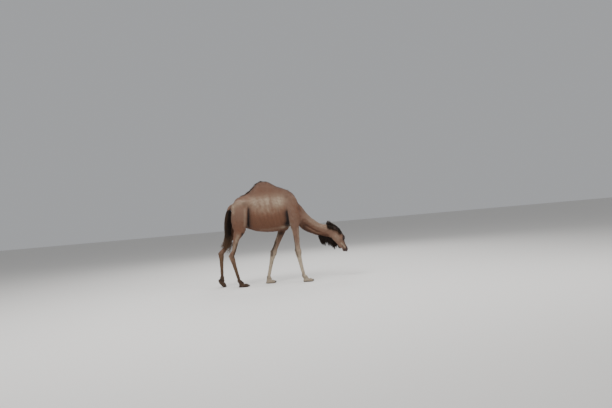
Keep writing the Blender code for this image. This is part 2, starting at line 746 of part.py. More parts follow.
def coat_of(name):
    if name.startswith("nail"):
        return "nail"
    if name.startswith("eye"):
        return "eye"
    if name in ("tail_tuft", "throat_beard", "poll_mane"):
        return "hair"
    if name.startswith("foot"):
        return name.split("_")[1] + "_foot"
    if name.startswith("leg"):
        return name.split("_")[1] + "_" + name.split("_")[3]
    return "head" if name.startswith("ear") else name


def main():
    clear_scene()
    camel = new_collection("dromedary_camel")
    cutters = new_collection("cutters")

    ground = big_block("ground", cutters, (-1.0, 3.0), (-1.0, 1.0), (-1.0, 0.0))
    flesh = make_flesh(cutters, ground)
    body = swollen(flesh, cutters, SKIN_GAP)
    padded_body = swollen(flesh, cutters, HAIR_GAP, triangles=2400)
    eyes = make_eyes(camel)
    nails = make_nails(camel)
    for nail in nails.values():
        combine(nail, ground, "DIFFERENCE")
    for inset in (*eyes.values(), *nails.values()):
        combine(flesh, swollen(inset, cutters, GAP), "DIFFERENCE")

    ears, ear_rooms = make_ears(camel, cutters)
    tail = make_tail(camel)
    for outgrowth in (*ears, tail):
        combine(outgrowth, body, "DIFFERENCE")
        keep_largest(outgrowth)
    tail_hair, beard, mane = make_tail_hair(camel), make_beard(camel), make_mane(camel)
    combine(tail_hair, swollen(tail, cutters, SKIN_GAP), "DIFFERENCE")
    for room in ear_rooms:
        combine(mane, room, "DIFFERENCE")
    for hair in (tail_hair, beard, mane):
        combine(hair, padded_body, "DIFFERENCE")
        keep_largest(hair)

    pieces = list(part_flesh(flesh, camel, cutters).values())
    pieces += [*eyes.values(), *nails.values(), *ears, tail, tail_hair, beard, mane]
    stand_on_origin(pieces)
    for piece in pieces:
        coat = coat_of(piece.name)
        piece.data.materials.clear()
        piece.data.materials.append(painted(piece.name, COAT[coat], 0.15 if coat == "eye" else 0.85))
    for helper in list(cutters.objects):
        bpy.data.objects.remove(helper)
    bpy.data.collections.remove(cutters)


main()
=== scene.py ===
"""The looks of a life-size dromedary camel that walks slowly with its head lowered to browse.

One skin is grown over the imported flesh, and carries folds, lids, nostrils and lips. Short hair lies
over it in tufts, and long hair hangs from the throat, stands on the poll and ends the tail.
Places are in metres: forward from the line of the hind feet, to the animal's left, and up.
"""

import math

import bmesh
import bpy
import numpy as np
from mathutils import Matrix, Vector
from mathutils.bvhtree import BVHTree


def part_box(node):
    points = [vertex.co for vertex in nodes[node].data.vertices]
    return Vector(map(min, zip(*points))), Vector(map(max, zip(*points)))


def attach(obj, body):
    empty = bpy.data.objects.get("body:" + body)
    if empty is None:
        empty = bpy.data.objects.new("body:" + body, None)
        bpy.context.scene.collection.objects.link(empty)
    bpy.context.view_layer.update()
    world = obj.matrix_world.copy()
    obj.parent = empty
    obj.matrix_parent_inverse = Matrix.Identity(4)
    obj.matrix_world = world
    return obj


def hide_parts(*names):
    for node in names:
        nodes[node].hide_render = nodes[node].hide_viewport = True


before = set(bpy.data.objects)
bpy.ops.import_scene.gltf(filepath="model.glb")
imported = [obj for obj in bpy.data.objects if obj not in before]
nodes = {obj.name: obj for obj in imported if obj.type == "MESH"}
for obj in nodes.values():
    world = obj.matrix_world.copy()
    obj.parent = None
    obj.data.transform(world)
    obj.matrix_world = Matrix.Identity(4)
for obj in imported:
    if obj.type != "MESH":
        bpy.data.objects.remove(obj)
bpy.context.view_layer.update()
draws = np.random.default_rng(20)

# ---------------------------------------------------------------- sizes
HEAD_PITCH = math.radians(70)  # how far the face points below level
ALONG = np.array((math.cos(HEAD_PITCH), 0.0, -math.sin(HEAD_PITCH)))  # from the poll to the lips
FORE = np.array((math.sin(HEAD_PITCH), 0.0, math.cos(HEAD_PITCH)))  # from the jaw to the forehead
EYE_PLACE = (0.25, 0.079, 0.05)  # along the head, to the side, towards the forehead
EYE_RADIUS = 0.021
POLL_FORWARD = 1.905  # the poll's distance forward from the line of the hind feet
SIDES = {"right": -1.0, "left": 1.0}
LEGS = ("fore_right", "fore_left", "hind_right", "hind_left")

OVERLAP = 0.0012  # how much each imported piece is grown, to close the thin cuts between them
GRAIN = 0.006  # voxel size of the skin before it is refined
SKIN_TRIANGLES = 190000
COAT_TUFTS = 116000
COAT_PIECES = 8

eye_centres = {side: np.array(sum(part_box("eye_" + side), Vector()) / 2) for side in SIDES}
POLL = eye_centres["left"] * (1, 0, 1) - ALONG * EYE_PLACE[0] - FORE * EYE_PLACE[2]
BEHIND = POLL_FORWARD - POLL[0]  # how far the line of the hind feet lies behind the origin

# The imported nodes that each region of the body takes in
REGIONS = {
    "trunk": ["trunk"],
    "neck": ["neck"],
    "head": ["head", "eye_left", "eye_right"],
    "ear": ["ear_left", "ear_right"],
    "tail": ["tail"],
    "fore_upper": ["leg_fore_left_upper", "leg_fore_right_upper"],
    "fore_lower": ["leg_fore_left_lower", "leg_fore_right_lower"],
    "fore_foot": ["foot_fore_left", "foot_fore_right"],
    "hind_upper": ["leg_hind_left_upper", "leg_hind_right_upper"],
    "hind_lower": ["leg_hind_left_lower", "leg_hind_right_lower"],
    "hind_foot": ["foot_hind_left", "foot_hind_right"],
}
NAILS = [f"nail_{leg}_{toe}" for leg in LEGS for toe in ("inner", "outer")]
FLESH = [name for names in REGIONS.values() for name in names if not name.startswith("eye")]

# For each region: how much it is rounded, from 0 to 1, how deep its coat is, how long its tufts are, how
# far they lift from the skin, and how much they differ in tone
COAT = {
    "trunk": (1.0, 0.0055, 0.024, 0.11, 0.22),
    "neck": (0.75, 0.0055, 0.023, 0.14, 0.26),
    "head": (0.24, 0.0015, 0.0085, 0.09, 0.16),
    "ear": (0.03, 0.0005, 0.014, 0.3, 0.25),
    "tail": (0.15, 0.003, 0.026, 0.12, 0.4),
    "fore_upper": (0.3, 0.0035, 0.019, 0.1, 0.2),
    "fore_lower": (0.2, 0.0018, 0.012, 0.09, 0.18),
    "fore_foot": (0.1, 0.0015, 0.009, 0.09, 0.16),
    "hind_upper": (0.3, 0.0035, 0.019, 0.1, 0.2),
    "hind_lower": (0.2, 0.0018, 0.012, 0.09, 0.2),
    "hind_foot": (0.1, 0.0015, 0.009, 0.09, 0.18),
}
ROUNDING, DEPTH, TUFT_LENGTH, TUFT_LIFT, TUFT_CONTRAST = range(5)  # the columns of COAT


# ---------------------------------------------------------------- tools for meshes
def numbers(items, name, width=1, kind=np.float32):
    found = np.empty(len(items) * width, kind)
    items.foreach_get(name, found)
    return found.reshape(-1, width).astype(np.float64 if kind == np.float32 else np.int64)


def corners_of(name):
    return (np.array(corner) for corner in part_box(name))


def unit(vectors):
    return vectors / np.maximum(np.linalg.norm(vectors, axis=-1, keepdims=True), 1e-9)


def rise(value, low, high):
    """0 below low, 1 above high, and smooth between; falls instead where low is the greater."""
    t = np.clip((value - low) / (high - low), 0.0, 1.0)
    return t * t * (3 - 2 * t)


def along_line(across, up, line, width, taper=0.0):
    """1 on a line of straight lengths in a plane, fading to 0 a little more than a width away; a taper is
    the share of the line over which each of its ends fades in."""
    here = np.stack([across, up], 1)
    line = np.array(line)
    lengths = np.linalg.norm(np.diff(line, axis=0), axis=1)
    passed = np.concatenate([[0.0], np.cumsum(lengths)]) / lengths.sum()
    nearest = np.full(len(here), 1e9)
    reached = np.zeros(len(here))
    for k, (start, run) in enumerate(zip(line[:-1], np.diff(line, axis=0))):
        share = np.clip((here - start) @ run / (run @ run), 0, 1)
        away = np.linalg.norm(here - start - share[:, None] * run, axis=1)
        closer = away < nearest
        nearest[closer] = away[closer]
        reached[closer] = (passed[k] + share * (passed[k + 1] - passed[k]))[closer]
    found = np.exp(-((nearest / width) ** 2))
    return found * rise(reached, 0, taper) * rise(reached, 1, 1 - taper) if taper else found


def blob(places, centre, radii):
    """1 at the centre, fading to 0 a little outside the radii."""
    return np.exp(-(((places - centre) / radii) ** 2).sum(1))


def ripple(places, size, seed):
    """A smooth random number from -1 to 1 for each place; `size` is the length of its waves."""
    own = np.random.default_rng(seed)
    ways = unit(own.normal(size=(7, 3))) * (2 * math.pi / size) * own.uniform(0.6, 1.7, (7, 1))
    return np.sin(places @ ways.T + own.uniform(0, 2 * math.pi, 7)).mean(1) * 1.6


def settle(obj):
    """Turns the object's modifiers into plain mesh."""
    graph = bpy.context.evaluated_depsgraph_get()
    mesh = bpy.data.meshes.new_from_object(obj.evaluated_get(graph))
    obj.modifiers.clear()
    obj.data = mesh


def make_mesh(name, points, faces, smooth=True):
    """A mesh from arrays: faces all have the same number of corners."""
    mesh = bpy.data.meshes.new(name)
    corners = faces.shape[1]
    mesh.vertices.add(len(points))
    mesh.vertices.foreach_set("co", points.astype(np.float32).ravel())
    mesh.loops.add(faces.size)
    mesh.loops.foreach_set("vertex_index", faces.astype(np.int32).ravel())
    mesh.polygons.add(len(faces))
    mesh.polygons.foreach_set("loop_start", np.arange(0, faces.size, corners, dtype=np.int32))
    mesh.update(calc_edges=True)
    mesh.polygons.foreach_set("use_smooth", np.full(len(faces), smooth))
    return mesh


def put_in_scene(name, mesh, material, replaced=(), place=None):
    obj = bpy.data.objects.new(name, mesh)
    bpy.context.scene.collection.objects.link(obj)
    if place:
        obj.matrix_world = place
    mesh.materials.clear()
    mesh.materials.append(material)
    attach(obj, "root")
    if replaced:
        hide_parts(*replaced)


class Surface:
    """Points and faces of a closed mesh, with sums over neighbours for smoothing."""

    def __init__(self, mesh):
        self.co = numbers(mesh.vertices, "co", 3)
        edges = numbers(mesh.edges, "vertices", 2, np.int32)
        self.start = np.concatenate([edges[:, 0], edges[:, 1]])
        self.end = np.concatenate([edges[:, 1], edges[:, 0]])
        self.degree = np.maximum(np.bincount(self.start, minlength=len(self.co)), 1)
        mesh.calc_loop_triangles()
        self.triangles = numbers(mesh.loop_triangles, "vertices", 3, np.int32)

    def average(self, values):
        """The mean of each point's neighbours."""
        count = len(self.co)
        sums = [np.bincount(self.start, column[self.end], count) for column in values.T]
        return np.stack(sums, 1) / self.degree[:, None]

    def smoothed(self, values, share, times):
        for _ in range(times):
            values = values + share * (self.average(values) - values)
        return values

    def rounded(self, share, times):
        """The places after smoothing, with most of what it shrank put back."""
        soft = self.smoothed(self.co, share, times)
        return soft + self.smoothed(self.co - soft, share, times)

    def normals(self):
        corners = self.co[self.triangles]
        face = np.cross(corners[:, 1] - corners[:, 0], corners[:, 2] - corners[:, 0])
        count = len(self.co)
        total = [sum(np.bincount(self.triangles[:, k], face[:, axis], count) for k in range(3))
                 for axis in range(3)]
        return unit(np.stack(total, 1))

    def move(self, distance):
        self.co = self.co + self.normals() * distance[:, None]


# ---------------------------------------------------------------- the skin before its details
def raw_skin():
    """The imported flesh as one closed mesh."""
    bm = bmesh.new()
    for name in [*FLESH, "eye_left", "eye_right", *NAILS]:
        bm.from_mesh(nodes[name].data)
    bmesh.ops.remove_doubles(bm, verts=bm.verts, dist=1e-5)
    bmesh.ops.recalc_face_normals(bm, faces=bm.faces)
    bm.normal_update()
    for vertex in bm.verts:
        vertex.co += vertex.normal * OVERLAP
    mesh = bpy.data.meshes.new("camel_skin")
    bm.to_mesh(mesh)
    bm.free()
    obj = bpy.data.objects.new("raw_skin", mesh)
    bpy.context.scene.collection.objects.link(obj)
    join = obj.modifiers.new("join", "REMESH")
    join.mode = "VOXEL"
    join.voxel_size = GRAIN
    settle(obj)
    return obj


def keep_largest(mesh):
    """Drops all but the body with the most points."""
    bm = bmesh.new()
    bm.from_mesh(mesh)
    bm.verts.ensure_lookup_table()
    label = np.full(len(bm.verts), -1)
    sizes = []
    for first in bm.verts:
        if label[first.index] >= 0:
            continue
        reached = [first]
        label[first.index] = len(sizes)
        for vertex in reached:
            for edge in vertex.link_edges:
                other = edge.other_vert(vertex)
                if label[other.index] < 0:
                    label[other.index] = len(sizes)
                    reached.append(other)
        sizes.append(len(reached))
    main = int(np.argmax(sizes))
    bmesh.ops.delete(bm, geom=[v for v in bm.verts if label[v.index] != main], context="VERTS")
    bm.to_mesh(mesh)
    bm.free()


def region_weights(surface):
    """For each point, how much it belongs to each region, smooth across their borders."""
    points, faces, owner = [], [], []
    for index, names in enumerate(REGIONS.values()):
        for name in names:
            mesh = nodes[name].data
            first = len(points)
            points += [v.co.copy() for v in mesh.vertices]
            faces += [[first + k for k in p.vertices] for p in mesh.polygons]
            owner += [index] * len(mesh.polygons)
    tree = BVHTree.FromPolygons(points, faces)
    found = np.array([owner[tree.find_nearest(Vector(place))[2]] for place in surface.co])
    weights = np.eye(len(REGIONS))[found]
    return surface.smoothed(weights, 0.5, 24)


class Body:
    """Where each point of a surface is: forward, up, side, and its places on the head."""

    def __init__(self, surface, weights):
        self.x = surface.co[:, 0] + BEHIND
        self.y = surface.co[:, 1]
        self.z = surface.co[:, 2]
        self.side = np.abs(self.y)
        from_poll = surface.co - POLL
        self.along = from_poll @ ALONG
        self.fore = from_poll @ FORE
        self.at = np.stack([self.x, self.side, self.z], 1)
        self.in_head = np.stack([self.along, self.side, self.fore], 1)
        self.weight = dict(zip(REGIONS, weights.T))
        self.right = rise(self.y, 0.01, -0.01)
        self.left = 1 - self.right

    def blend(self, column):
        """A number for each point, from a column of COAT."""
        return sum(self.weight[region] * row[column] for region, row in COAT.items())

    def legs(self, *parts):
        return sum(self.weight[part] for part in parts)


# ---------------------------------------------------------------- folds of the body
# Where the legs stand out from the trunk, seen from the side: which leg, how far forward the edge is at
# each of its heights, from the lowest up, which way the trunk lies from it, and the hollow's depth
EDGE_HEIGHTS = {"hind": (1.13, 1.22, 1.33, 1.42, 1.5, 1.61),
                "fore": (1.06, 1.12, 1.2, 1.3, 1.4, 1.5)}
EDGES = (
    ("hind_right", (0.172, 0.19, 0.207, 0.216, 0.226, 0.238), 1, 0.032),
    ("hind_left", (0.125, 0.16, 0.188, 0.202, 0.216, 0.232), 1, 0.032),
    ("fore_right", (1.03, 1.02, 1.012, 1.008, 1.002, 0.996), -1, 0.02),
    ("fore_left", (0.78, 0.805, 0.845, 0.872, 0.893, 0.905), -1, 0.02),
)
# Folds on the trunk and neck, seen from the side: which sides, the line, its width and its depth, where a
# negative depth is a groove
FOLDS = (
    ("both", ((1.12, 1.7), (1.18, 1.58), (1.226, 1.46), (1.248, 1.33), (1.236, 1.19)), 0.018, -0.012),
    ("right", ((1.05, 1.74), (1.095, 1.58), (1.145, 1.42)), 0.022, 0.007),  # shoulder blade
    ("left", ((1.04, 1.74), (1.08, 1.58), (1.115, 1.42)), 0.022, 0.007),
    ("both", ((1.0, 1.7), (1.045, 1.54), (1.06, 1.38)), 0.026, -0.008),
    ("both", ((1.13, 1.64), (1.165, 1.5), (1.18, 1.36)), 0.022, -0.006),
    ("right", ((1.06, 1.33), (1.09, 1.25), (1.13, 1.18)), 0.016, -0.006),  # heads of the triceps
    ("left", ((0.94, 1.34), (0.965, 1.26), (1.0, 1.19)), 0.016, -0.006),
    ("both", ((0.11, 1.7), (0.23, 1.735), (0.36, 1.745), (0.52, 1.735), (0.7, 1.735)), 0.03, -0.003),
    ("both", ((0.2, 1.21), (0.33, 1.14), (0.45, 1.095), (0.6, 1.08)), 0.026, 0.006),  # flank fold
    ("both", ((0.38, 1.48), (0.4, 1.34), (0.45, 1.22), (0.54, 1.14)), 0.03, -0.005),  # last rib
    ("both", ((1.26, 1.15), (1.4, 1.03), (1.54, 0.94), (1.7, 0.89)), 0.02, -0.009),  # windpipe
    ("both", ((1.25, 1.3), (1.4, 1.14), (1.56, 1.03), (1.74, 0.985)), 0.03, 0.006),
    ("both", ((1.23, 1.44), (1.35, 1.26), (1.5, 1.12), (1.64, 1.05)), 0.024, -0.005),
    ("both", ((-0.055, 1.52), (-0.03, 1.36), (-0.005, 1.2)), 0.022, -0.01),  # back of the thigh
    ("both", ((0.1, 1.56), (0.11, 1.42), (0.09, 1.28)), 0.03, -0.006),  # front of the thigh
)
# Lumps under the hide: forward, to the side, height; radii; height of the lump
LUMPS = (
    ((0.185, 0.185, 1.635), (0.05, 0.05, 0.035), 0.012),  # hip bone
    ((0.33, 0.24, 1.56), (0.08, 0.1, 0.08), -0.014),  # hollow of the flank
    ((-0.085, 0.09, 1.525), (0.035, 0.04, 0.04), 0.01),  # pin bone
    ((0.06, 0.21, 1.44), (0.06, 0.06, 0.07), 0.005),
    ((1.185, 0.165, 1.29), (0.05, 0.05, 0.06), 0.008),  # point of the shoulder
    ((0.905, 0.0, 1.015), (0.085, 0.06, 0.03), 0.01),  # chest pad
)


def edge_of(body, which, leg, forward, way):
    """For an edge of EDGES: how far each point lies before it, on the trunk's side, and how much of the
    edge there is at its height."""
    kind, side = leg.split("_")
    height = EDGE_HEIGHTS[kind]
    ahead = (body.x - np.interp(body.z, height, forward)) * way
    there = rise(body.z, height[-1], height[-1] - 0.13) * rise(body.z, height[0] - 0.05, height[0] + 0.02)
    there = there * (body.right if side == "right" else body.left) * rise(body.side, 0.04, 0.1)
    return ahead, there * which


def hollow_shade(body):
    """How deep each point lies in the shade before the legs' edges."""
    shade = np.zeros(len(body.x))
    for leg, forward, way, _ in EDGES:
        ahead, there = edge_of(body, body.weight["trunk"], leg, forward, way)
        width, low, high = (0.054, 1.46, 1.62) if way > 0 else (0.056, 1.36, 1.54)
        there = there * rise(ahead, -0.006, 0.01) * rise(body.z, high, low)
        near, wide = (np.exp(-((np.maximum(ahead, 0) / reach) ** 2)) for reach in (width, 0.13))
        shade += (1.25 * near + 0.16 * wide * rise(body.z, 1.5, 1.3)) * there
    return np.minimum(shade, 1.0)


def shape_body(surface, body):
    trunk = body.legs("trunk", "neck", "fore_upper", "hind_upper")
    sides = {"both": 1.0, "right": body.right, "left": body.left}
    off_middle = rise(body.side, 0.03, 0.08)
    moves = np.zeros(len(surface.co))
    for leg, forward, way, depth in EDGES:
        ahead, there = edge_of(body, trunk, leg, forward, way)
        moves -= depth * rise(ahead, -0.01, 0.012) * np.exp(-np.maximum(ahead, 0) / (2.4 * depth)) * there
        moves += 0.008 * np.exp(-(((ahead + 0.03) / 0.026) ** 2)) * there
    for which, line, width, depth in FOLDS:
        moves += depth * along_line(body.x, body.z, line, width, 0.3) * sides[which] * off_middle * trunk
    for centre, radii, height in LUMPS:
        moves += height * blob(body.at, centre, radii)
    ribs = rise(body.x, 0.36, 0.5) * rise(body.x, 1.0, 0.88) * rise(body.z, 1.12, 1.25)
    ribs *= rise(body.z, 1.66, 1.5) * body.weight["trunk"]
    moves += 0.0016 * ribs * np.sin((body.x + 0.25 * body.z) * 2 * math.pi / 0.078)
    # waves of the slack hide
    moves += 0.0022 * ripple(surface.co * (1, 1, 0.6), 0.16, 3) * body.legs("trunk", "neck")
    moves += 0.0012 * ripple(surface.co, 0.07, 4) * body.legs("trunk", "neck")
    surface.move(moves)


# Each leg's joints as forward and height: elbow or stifle, knee or hock, fetlock
LEG_JOINTS = {
    "fore_right": ((1.115, 1.11), (1.13, 0.595), (1.207, 0.122)),
    "fore_left": ((0.87, 1.09), (0.633, 0.6), (0.502, 0.122)),
    "hind_right": ((0.03, 1.085), (-0.155, 0.59), (-0.055, 0.125)),
    "hind_left": ((-0.09, 1.075), (-0.4, 0.645), (-0.424, 0.2)),
}
# Ridges and grooves round the knee or the hock: their line from the joint, width, height, and where
LEG_BUMPS = {
    "fore": (
        (((0.04, 0.06), (0.048, 0.0), (0.04, -0.06)), 0.026, 0.008, "both"),  # kneecap
        (((-0.048, 0.055), (-0.05, 0.015)), 0.018, 0.009, "both"),
        (((0.0, 0.03), (0.004, -0.02)), 0.022, 0.004, "sides of both"),
        (((-0.018, 0.05), (-0.016, -0.045)), 0.008, -0.005, "sides of both"),
        (((0.004, 0.33), (0.008, 0.2), (0.012, 0.075)), 0.013, -0.009, "sides above"),  # between muscles
        (((-0.036, 0.33), (-0.026, 0.2), (-0.02, 0.09)), 0.01, -0.005, "sides above"),
        (((0.05, 0.3), (0.045, 0.18)), 0.03, 0.005, "above"),
    ),
    "hind": (
        (((-0.062, 0.12), (-0.058, 0.04)), 0.01, 0.005, "above"),
        (((-0.052, 0.05), (-0.056, 0.005)), 0.017, 0.009, "both"),
        (((0.01, 0.045), (0.018, 0.0)), 0.02, 0.007, "sides of both"),
        (((-0.022, 0.03), (-0.02, -0.05)), 0.01, -0.006, "sides of both"),
    ),
}


def shape_legs(surface, body):
    """Tendons, callused knees and fetlocks."""
    moves = np.zeros(len(surface.co))
    for leg in LEGS:
        kind, side = leg.split("_")
        mine = body.right if side == "right" else body.left
        upper = body.weight[kind + "_upper"] * mine
        lower = body.legs(kind + "_lower", kind + "_foot") * mine
        top, middle, end = (np.array(place) for place in LEG_JOINTS[leg])
        run = unit(end - middle)
        behind = np.array((-abs(run[1]), 0)) if kind == "fore" else np.array((-0.9, 0.0))
        side_wall = np.abs(surface.normals()[:, 1])
        both = upper + lower
        where = {"above": upper, "both": both}
        where["sides above"] = upper * side_wall
        where["sides of both"] = both * side_wall

        def bump(points, width, height, amount, taper=0.25):
            return height * along_line(body.x, body.z, points, width, taper) * amount

        # the groove between the bone and the tendons behind it, and the tendons
        groove = (middle + behind * 0.004 + run * 0.07, end + behind * 0.008 - run * 0.03)
        moves += bump(groove, 0.009, -0.0085, lower * side_wall)
        tendon = (middle + behind * 0.034 + run * 0.05, end + behind * 0.036 - run * 0.02)
        moves += bump(tendon, 0.011, 0.0045, lower)
        if kind == "hind":
            string = (top * 0.62 + middle * 0.38 + (-0.02, 0), middle + (-0.012, 0.065))
            moves += bump(string, 0.016, -0.016, where["sides above"])  # before the heel's tendon
        for points, width, height, part in LEG_BUMPS[kind]:
            moves += bump(middle + points, width, height, where[part])
        if kind == "hind":
            shin = (top * 0.75 + middle * 0.25 + (0.01, 0), top * 0.3 + middle * 0.7 + (0.006, 0))
            moves += bump(shin, 0.014, -0.007, where["sides above"])
        fetlock = np.array((end[0], 0.14, end[1] - 0.005))
        moves += 0.006 * blob(body.at, fetlock, (0.05, 0.06, 0.02)) * mine
        moves -= 0.006 * blob(body.at, fetlock + (0, 0, 0.042), (0.07, 0.07, 0.018)) * mine
        moves -= 0.005 * blob(body.at, fetlock - (0, 0, 0.04), (0.07, 0.07, 0.012)) * mine
    surface.move(moves)


def shape_feet(surface, body):
    """Two toes on a broad pad, parted in front, with room for the nails."""
    feet = body.legs("fore_foot", "hind_foot")
    moves = np.zeros(len(surface.co))
    for leg in LEGS:
        low, high = corners_of("foot_" + leg)
        sign = SIDES[leg.split("_")[1]]
        mine = feet * rise(sign * body.y, 0.0, 0.02)
        along = surface.co[:, 0]
        mine *= rise(along, low[0] - 0.03, low[0]) * rise(along, high[0] + 0.03, high[0])
        middle = (low[1] + high[1]) / 2
        in_front = rise(surface.co[:, 0], high[0] - 0.11, high[0] - 0.03)
        cleft = np.exp(-(((body.y - middle) / 0.011) ** 2)) * in_front
        moves -= 0.017 * cleft * mine
        # the edge of the horny pad, above the sole
        moves -= 0.0025 * np.exp(-(((body.z - 0.021) / 0.005) ** 2)) * mine * (leg != "hind_left")
    for name in NAILS:
        low, high = corners_of(name)
        moves -= 0.0045 * blob(surface.co, (low + high) / 2, (high - low) * 0.42)
    ground = surface.co[:, 2].copy()
    surface.move(moves)
    sole = rise(ground, 0.006, 0.002) * feet
    surface.co[:, 2] += (ground - surface.co[:, 2]) * sole


# ---------------------------------------------------------------- the face
# Folds of the face: the line along the head and towards the forehead; the least and most distance to the
# side; width; depth
FACE_FOLDS = (
    (((0.418, 0.043), (0.44, 0.037), (0.46, 0.02), (0.467, 0.006)), 0.01, 0.06, 0.004, -0.01),  # nostril
    (((0.408, 0.043), (0.432, 0.05), (0.456, 0.036)), 0.012, 0.06, 0.007, 0.0035),  # its upper wing
    (((0.424, 0.028), (0.446, 0.018), (0.456, 0.004)), 0.012, 0.06, 0.0065, 0.003),  # its lower wing
    (((0.525, -0.016), (0.5, -0.027), (0.465, -0.027), (0.425, -0.024), (0.385, -0.033)),
     0.0, 0.06, 0.0036, -0.0085),  # mouth
    (((0.505, -0.012), (0.465, -0.013), (0.425, -0.01)), 0.008, 0.06, 0.008, 0.0035),  # upper lip
    (((0.495, -0.043), (0.455, -0.042), (0.415, -0.04)), 0.004, 0.06, 0.008, 0.003),  # lower lip
    (((0.392, -0.03), (0.368, -0.042)), 0.01, 0.06, 0.007, -0.0025),  # corner of the mouth
    (((0.262, 0.014), (0.31, 0.002), (0.36, 0.004)), 0.03, 0.09, 0.01, 0.004),  # cheekbone
    (((0.285, 0.03), (0.33, 0.022), (0.38, 0.024)), 0.025, 0.09, 0.011, -0.004),  # before the eye
    (((0.262, -0.02), (0.236, -0.062), (0.205, -0.108), (0.16, -0.13)), 0.03, 0.09, 0.012, -0.0055),
    (((0.12, -0.01), (0.165, 0.018), (0.21, 0.012)), 0.04, 0.09, 0.014, -0.0035),  # temple
    (((0.105, 0.03), (0.15, 0.044), (0.19, 0.05)), 0.03, 0.09, 0.012, 0.004),  # brow to ear
    (((0.3, -0.083), (0.35, -0.068), (0.4, -0.056)), 0.012, 0.06, 0.009, 0.003),  # jaw
    (((0.298, -0.05), (0.345, -0.04), (0.385, -0.036)), 0.02, 0.07, 0.012, -0.004),  # over the jaw
    (((0.212, 0.078), (0.236, 0.072), (0.262, 0.056)), 0.05, 0.11, 0.012, 0.003),  # ridge over the eye
    (((0.286, 0.04), (0.3, 0.022), (0.296, -0.004)), 0.05, 0.11, 0.009, -0.0025),  # under the eye
    (((0.246, 0.014), (0.262, -0.004), (0.3, -0.012)), 0.04, 0.11, 0.007, -0.0022),
    (((0.4, 0.014), (0.404, -0.006)), 0.02, 0.06, 0.005, -0.0018),  # wrinkles of the muzzle
    (((0.412, 0.018), (0.418, -0.004)), 0.02, 0.06, 0.0045, -0.0016),
    (((0.215, 0.075), (0.262, 0.078)), 0.0, 0.02, 0.02, 0.003),  # middle of the forehead
)
# Lumps of the face: along, to the side, towards the forehead; radii; height
FACE_LUMPS = (
    ((0.186, 0.08, 0.05), (0.03, 0.032, 0.04), -0.009),  # evens out the brow
    ((0.232, 0.066, 0.08), (0.04, 0.026, 0.024), 0.008),
    ((0.292, 0.064, 0.06), (0.044, 0.024, 0.026), 0.007),
    ((0.18, 0.07, 0.05), (0.05, 0.04, 0.048), 0.006),
    ((0.292, 0.07, 0.02), (0.04, 0.024, 0.032), 0.007),
    ((0.13, 0.075, -0.06), (0.06, 0.03, 0.05), 0.004),  # jaw muscle
    ((0.482, 0.012, 0.02), (0.022, 0.022, 0.02), 0.003),  # upper lip
)
LIP_SPLIT = ((0.528, -0.014), (0.522, 0.01), (0.505, 0.028))  # in the middle, along and towards the forehead
# Half the slit's length, its height above and its height below, as shares of the eye's radius
EYE_OPENING = (0.86, 0.5, 0.4)
LID = 0.0022  # thickness of the lid's edge
SLIT_TURN = math.radians(-14)  # how far the slit's front end dips towards the jaw


def eye_axes(sign):
    """The eye's own axes: out of the head, along the slit towards the nose, and across it, upwards."""
    out = unit(np.array((0.0, sign, 0.0)) + 0.2 * ALONG + 0.1 * FORE)
    slit = ALONG * math.cos(SLIT_TURN) + FORE * math.sin(SLIT_TURN)
    slit = unit(slit - out * (slit @ out))
    over = np.cross(out, slit) * -sign
    return out, slit, over if over @ FORE > 0 else -over


def slit_places(places, side):
    """For places round an eye: distance from its middle, how far they face out, and their places along
    and across the slit, as shares of the eye's radius."""
    out, slit, over = eye_axes(SIDES[side])
    away = places - eye_centres[side]
    distance = np.linalg.norm(away, axis=1)
    way = away / np.maximum(distance, 1e-6)[:, None]
    return distance, way, way @ out, way @ slit, way @ over


def lid_gap(p, q):
    """How far outside the eye's opening a place is, as a share of the eye's radius; negative inside."""
    half_length, above, below = EYE_OPENING
    height = np.where(q > 0, above, below) * np.maximum(1 - (p / half_length) ** 2, 0) ** 0.7
    beyond = np.maximum(np.abs(p) - half_length, 0)
    return np.where(beyond > 0, np.hypot(beyond, q), np.abs(q) - height)


def shape_lids(surface):
    """Draws the skin over each eye, apart from the slit, where it turns in behind the lids' edges."""
    for side in SIDES:
        distance, way, outward, p, q = slit_places(surface.co, side)
        gap = lid_gap(p, q)
        edge = EYE_RADIUS + LID
        crease = 0.0016 * np.exp(-(((gap - 0.38) / 0.07) ** 2)) * rise(q, 0.0, 0.3)
        crease += 0.0008 * np.exp(-(((gap - 0.3) / 0.06) ** 2)) * rise(q, 0.0, -0.3)
        full = edge + 0.0014 * rise(gap, 0.06, 0.26) - crease
        hug = rise(gap, 0.8, 0.25) * rise(outward, 0.0, 0.3)
        lid = full + (np.maximum(distance, full) - full) * (1 - hug)
        behind = EYE_RADIUS * 0.86
        open_here = rise(gap, 0.02, -0.1) * rise(outward, 0.1, 0.25)
        target = lid + (behind - lid) * open_here
        blend = rise(distance, EYE_RADIUS * 1.85, EYE_RADIUS * 1.5) * (outward > -0.75)
        radius = distance + (target - distance) * blend
        surface.co = eye_centres[side] + way * radius[:, None]


def shape_ears(surface, body):
    """Hollows the front of each ear."""
    for sign in SIDES.values():
        tip = unit(-0.62 * ALONG - 0.42 * FORE + np.array((0.0, sign * 0.62, 0.0)))
        opening = np.array((0.0, sign * 0.75, 0.0)) + 0.55 * FORE - 0.2 * ALONG
        opening = unit(opening - tip * (opening @ tip))
        middle = POLL + ALONG * 0.048 + np.array((0, sign * 0.058, 0)) + FORE * 0.004 + tip * 0.054
        away = surface.co - middle
        t, o, w = away @ tip, away @ opening, away @ np.cross(tip, opening)
        inside = np.exp(-((t / 0.036) ** 4) - (w / 0.0155) ** 4)
        hollow = inside * rise(o, 0.0, 0.008) * body.legs("ear", "head")
        surface.co -= opening * (hollow * 0.013)[:, None]


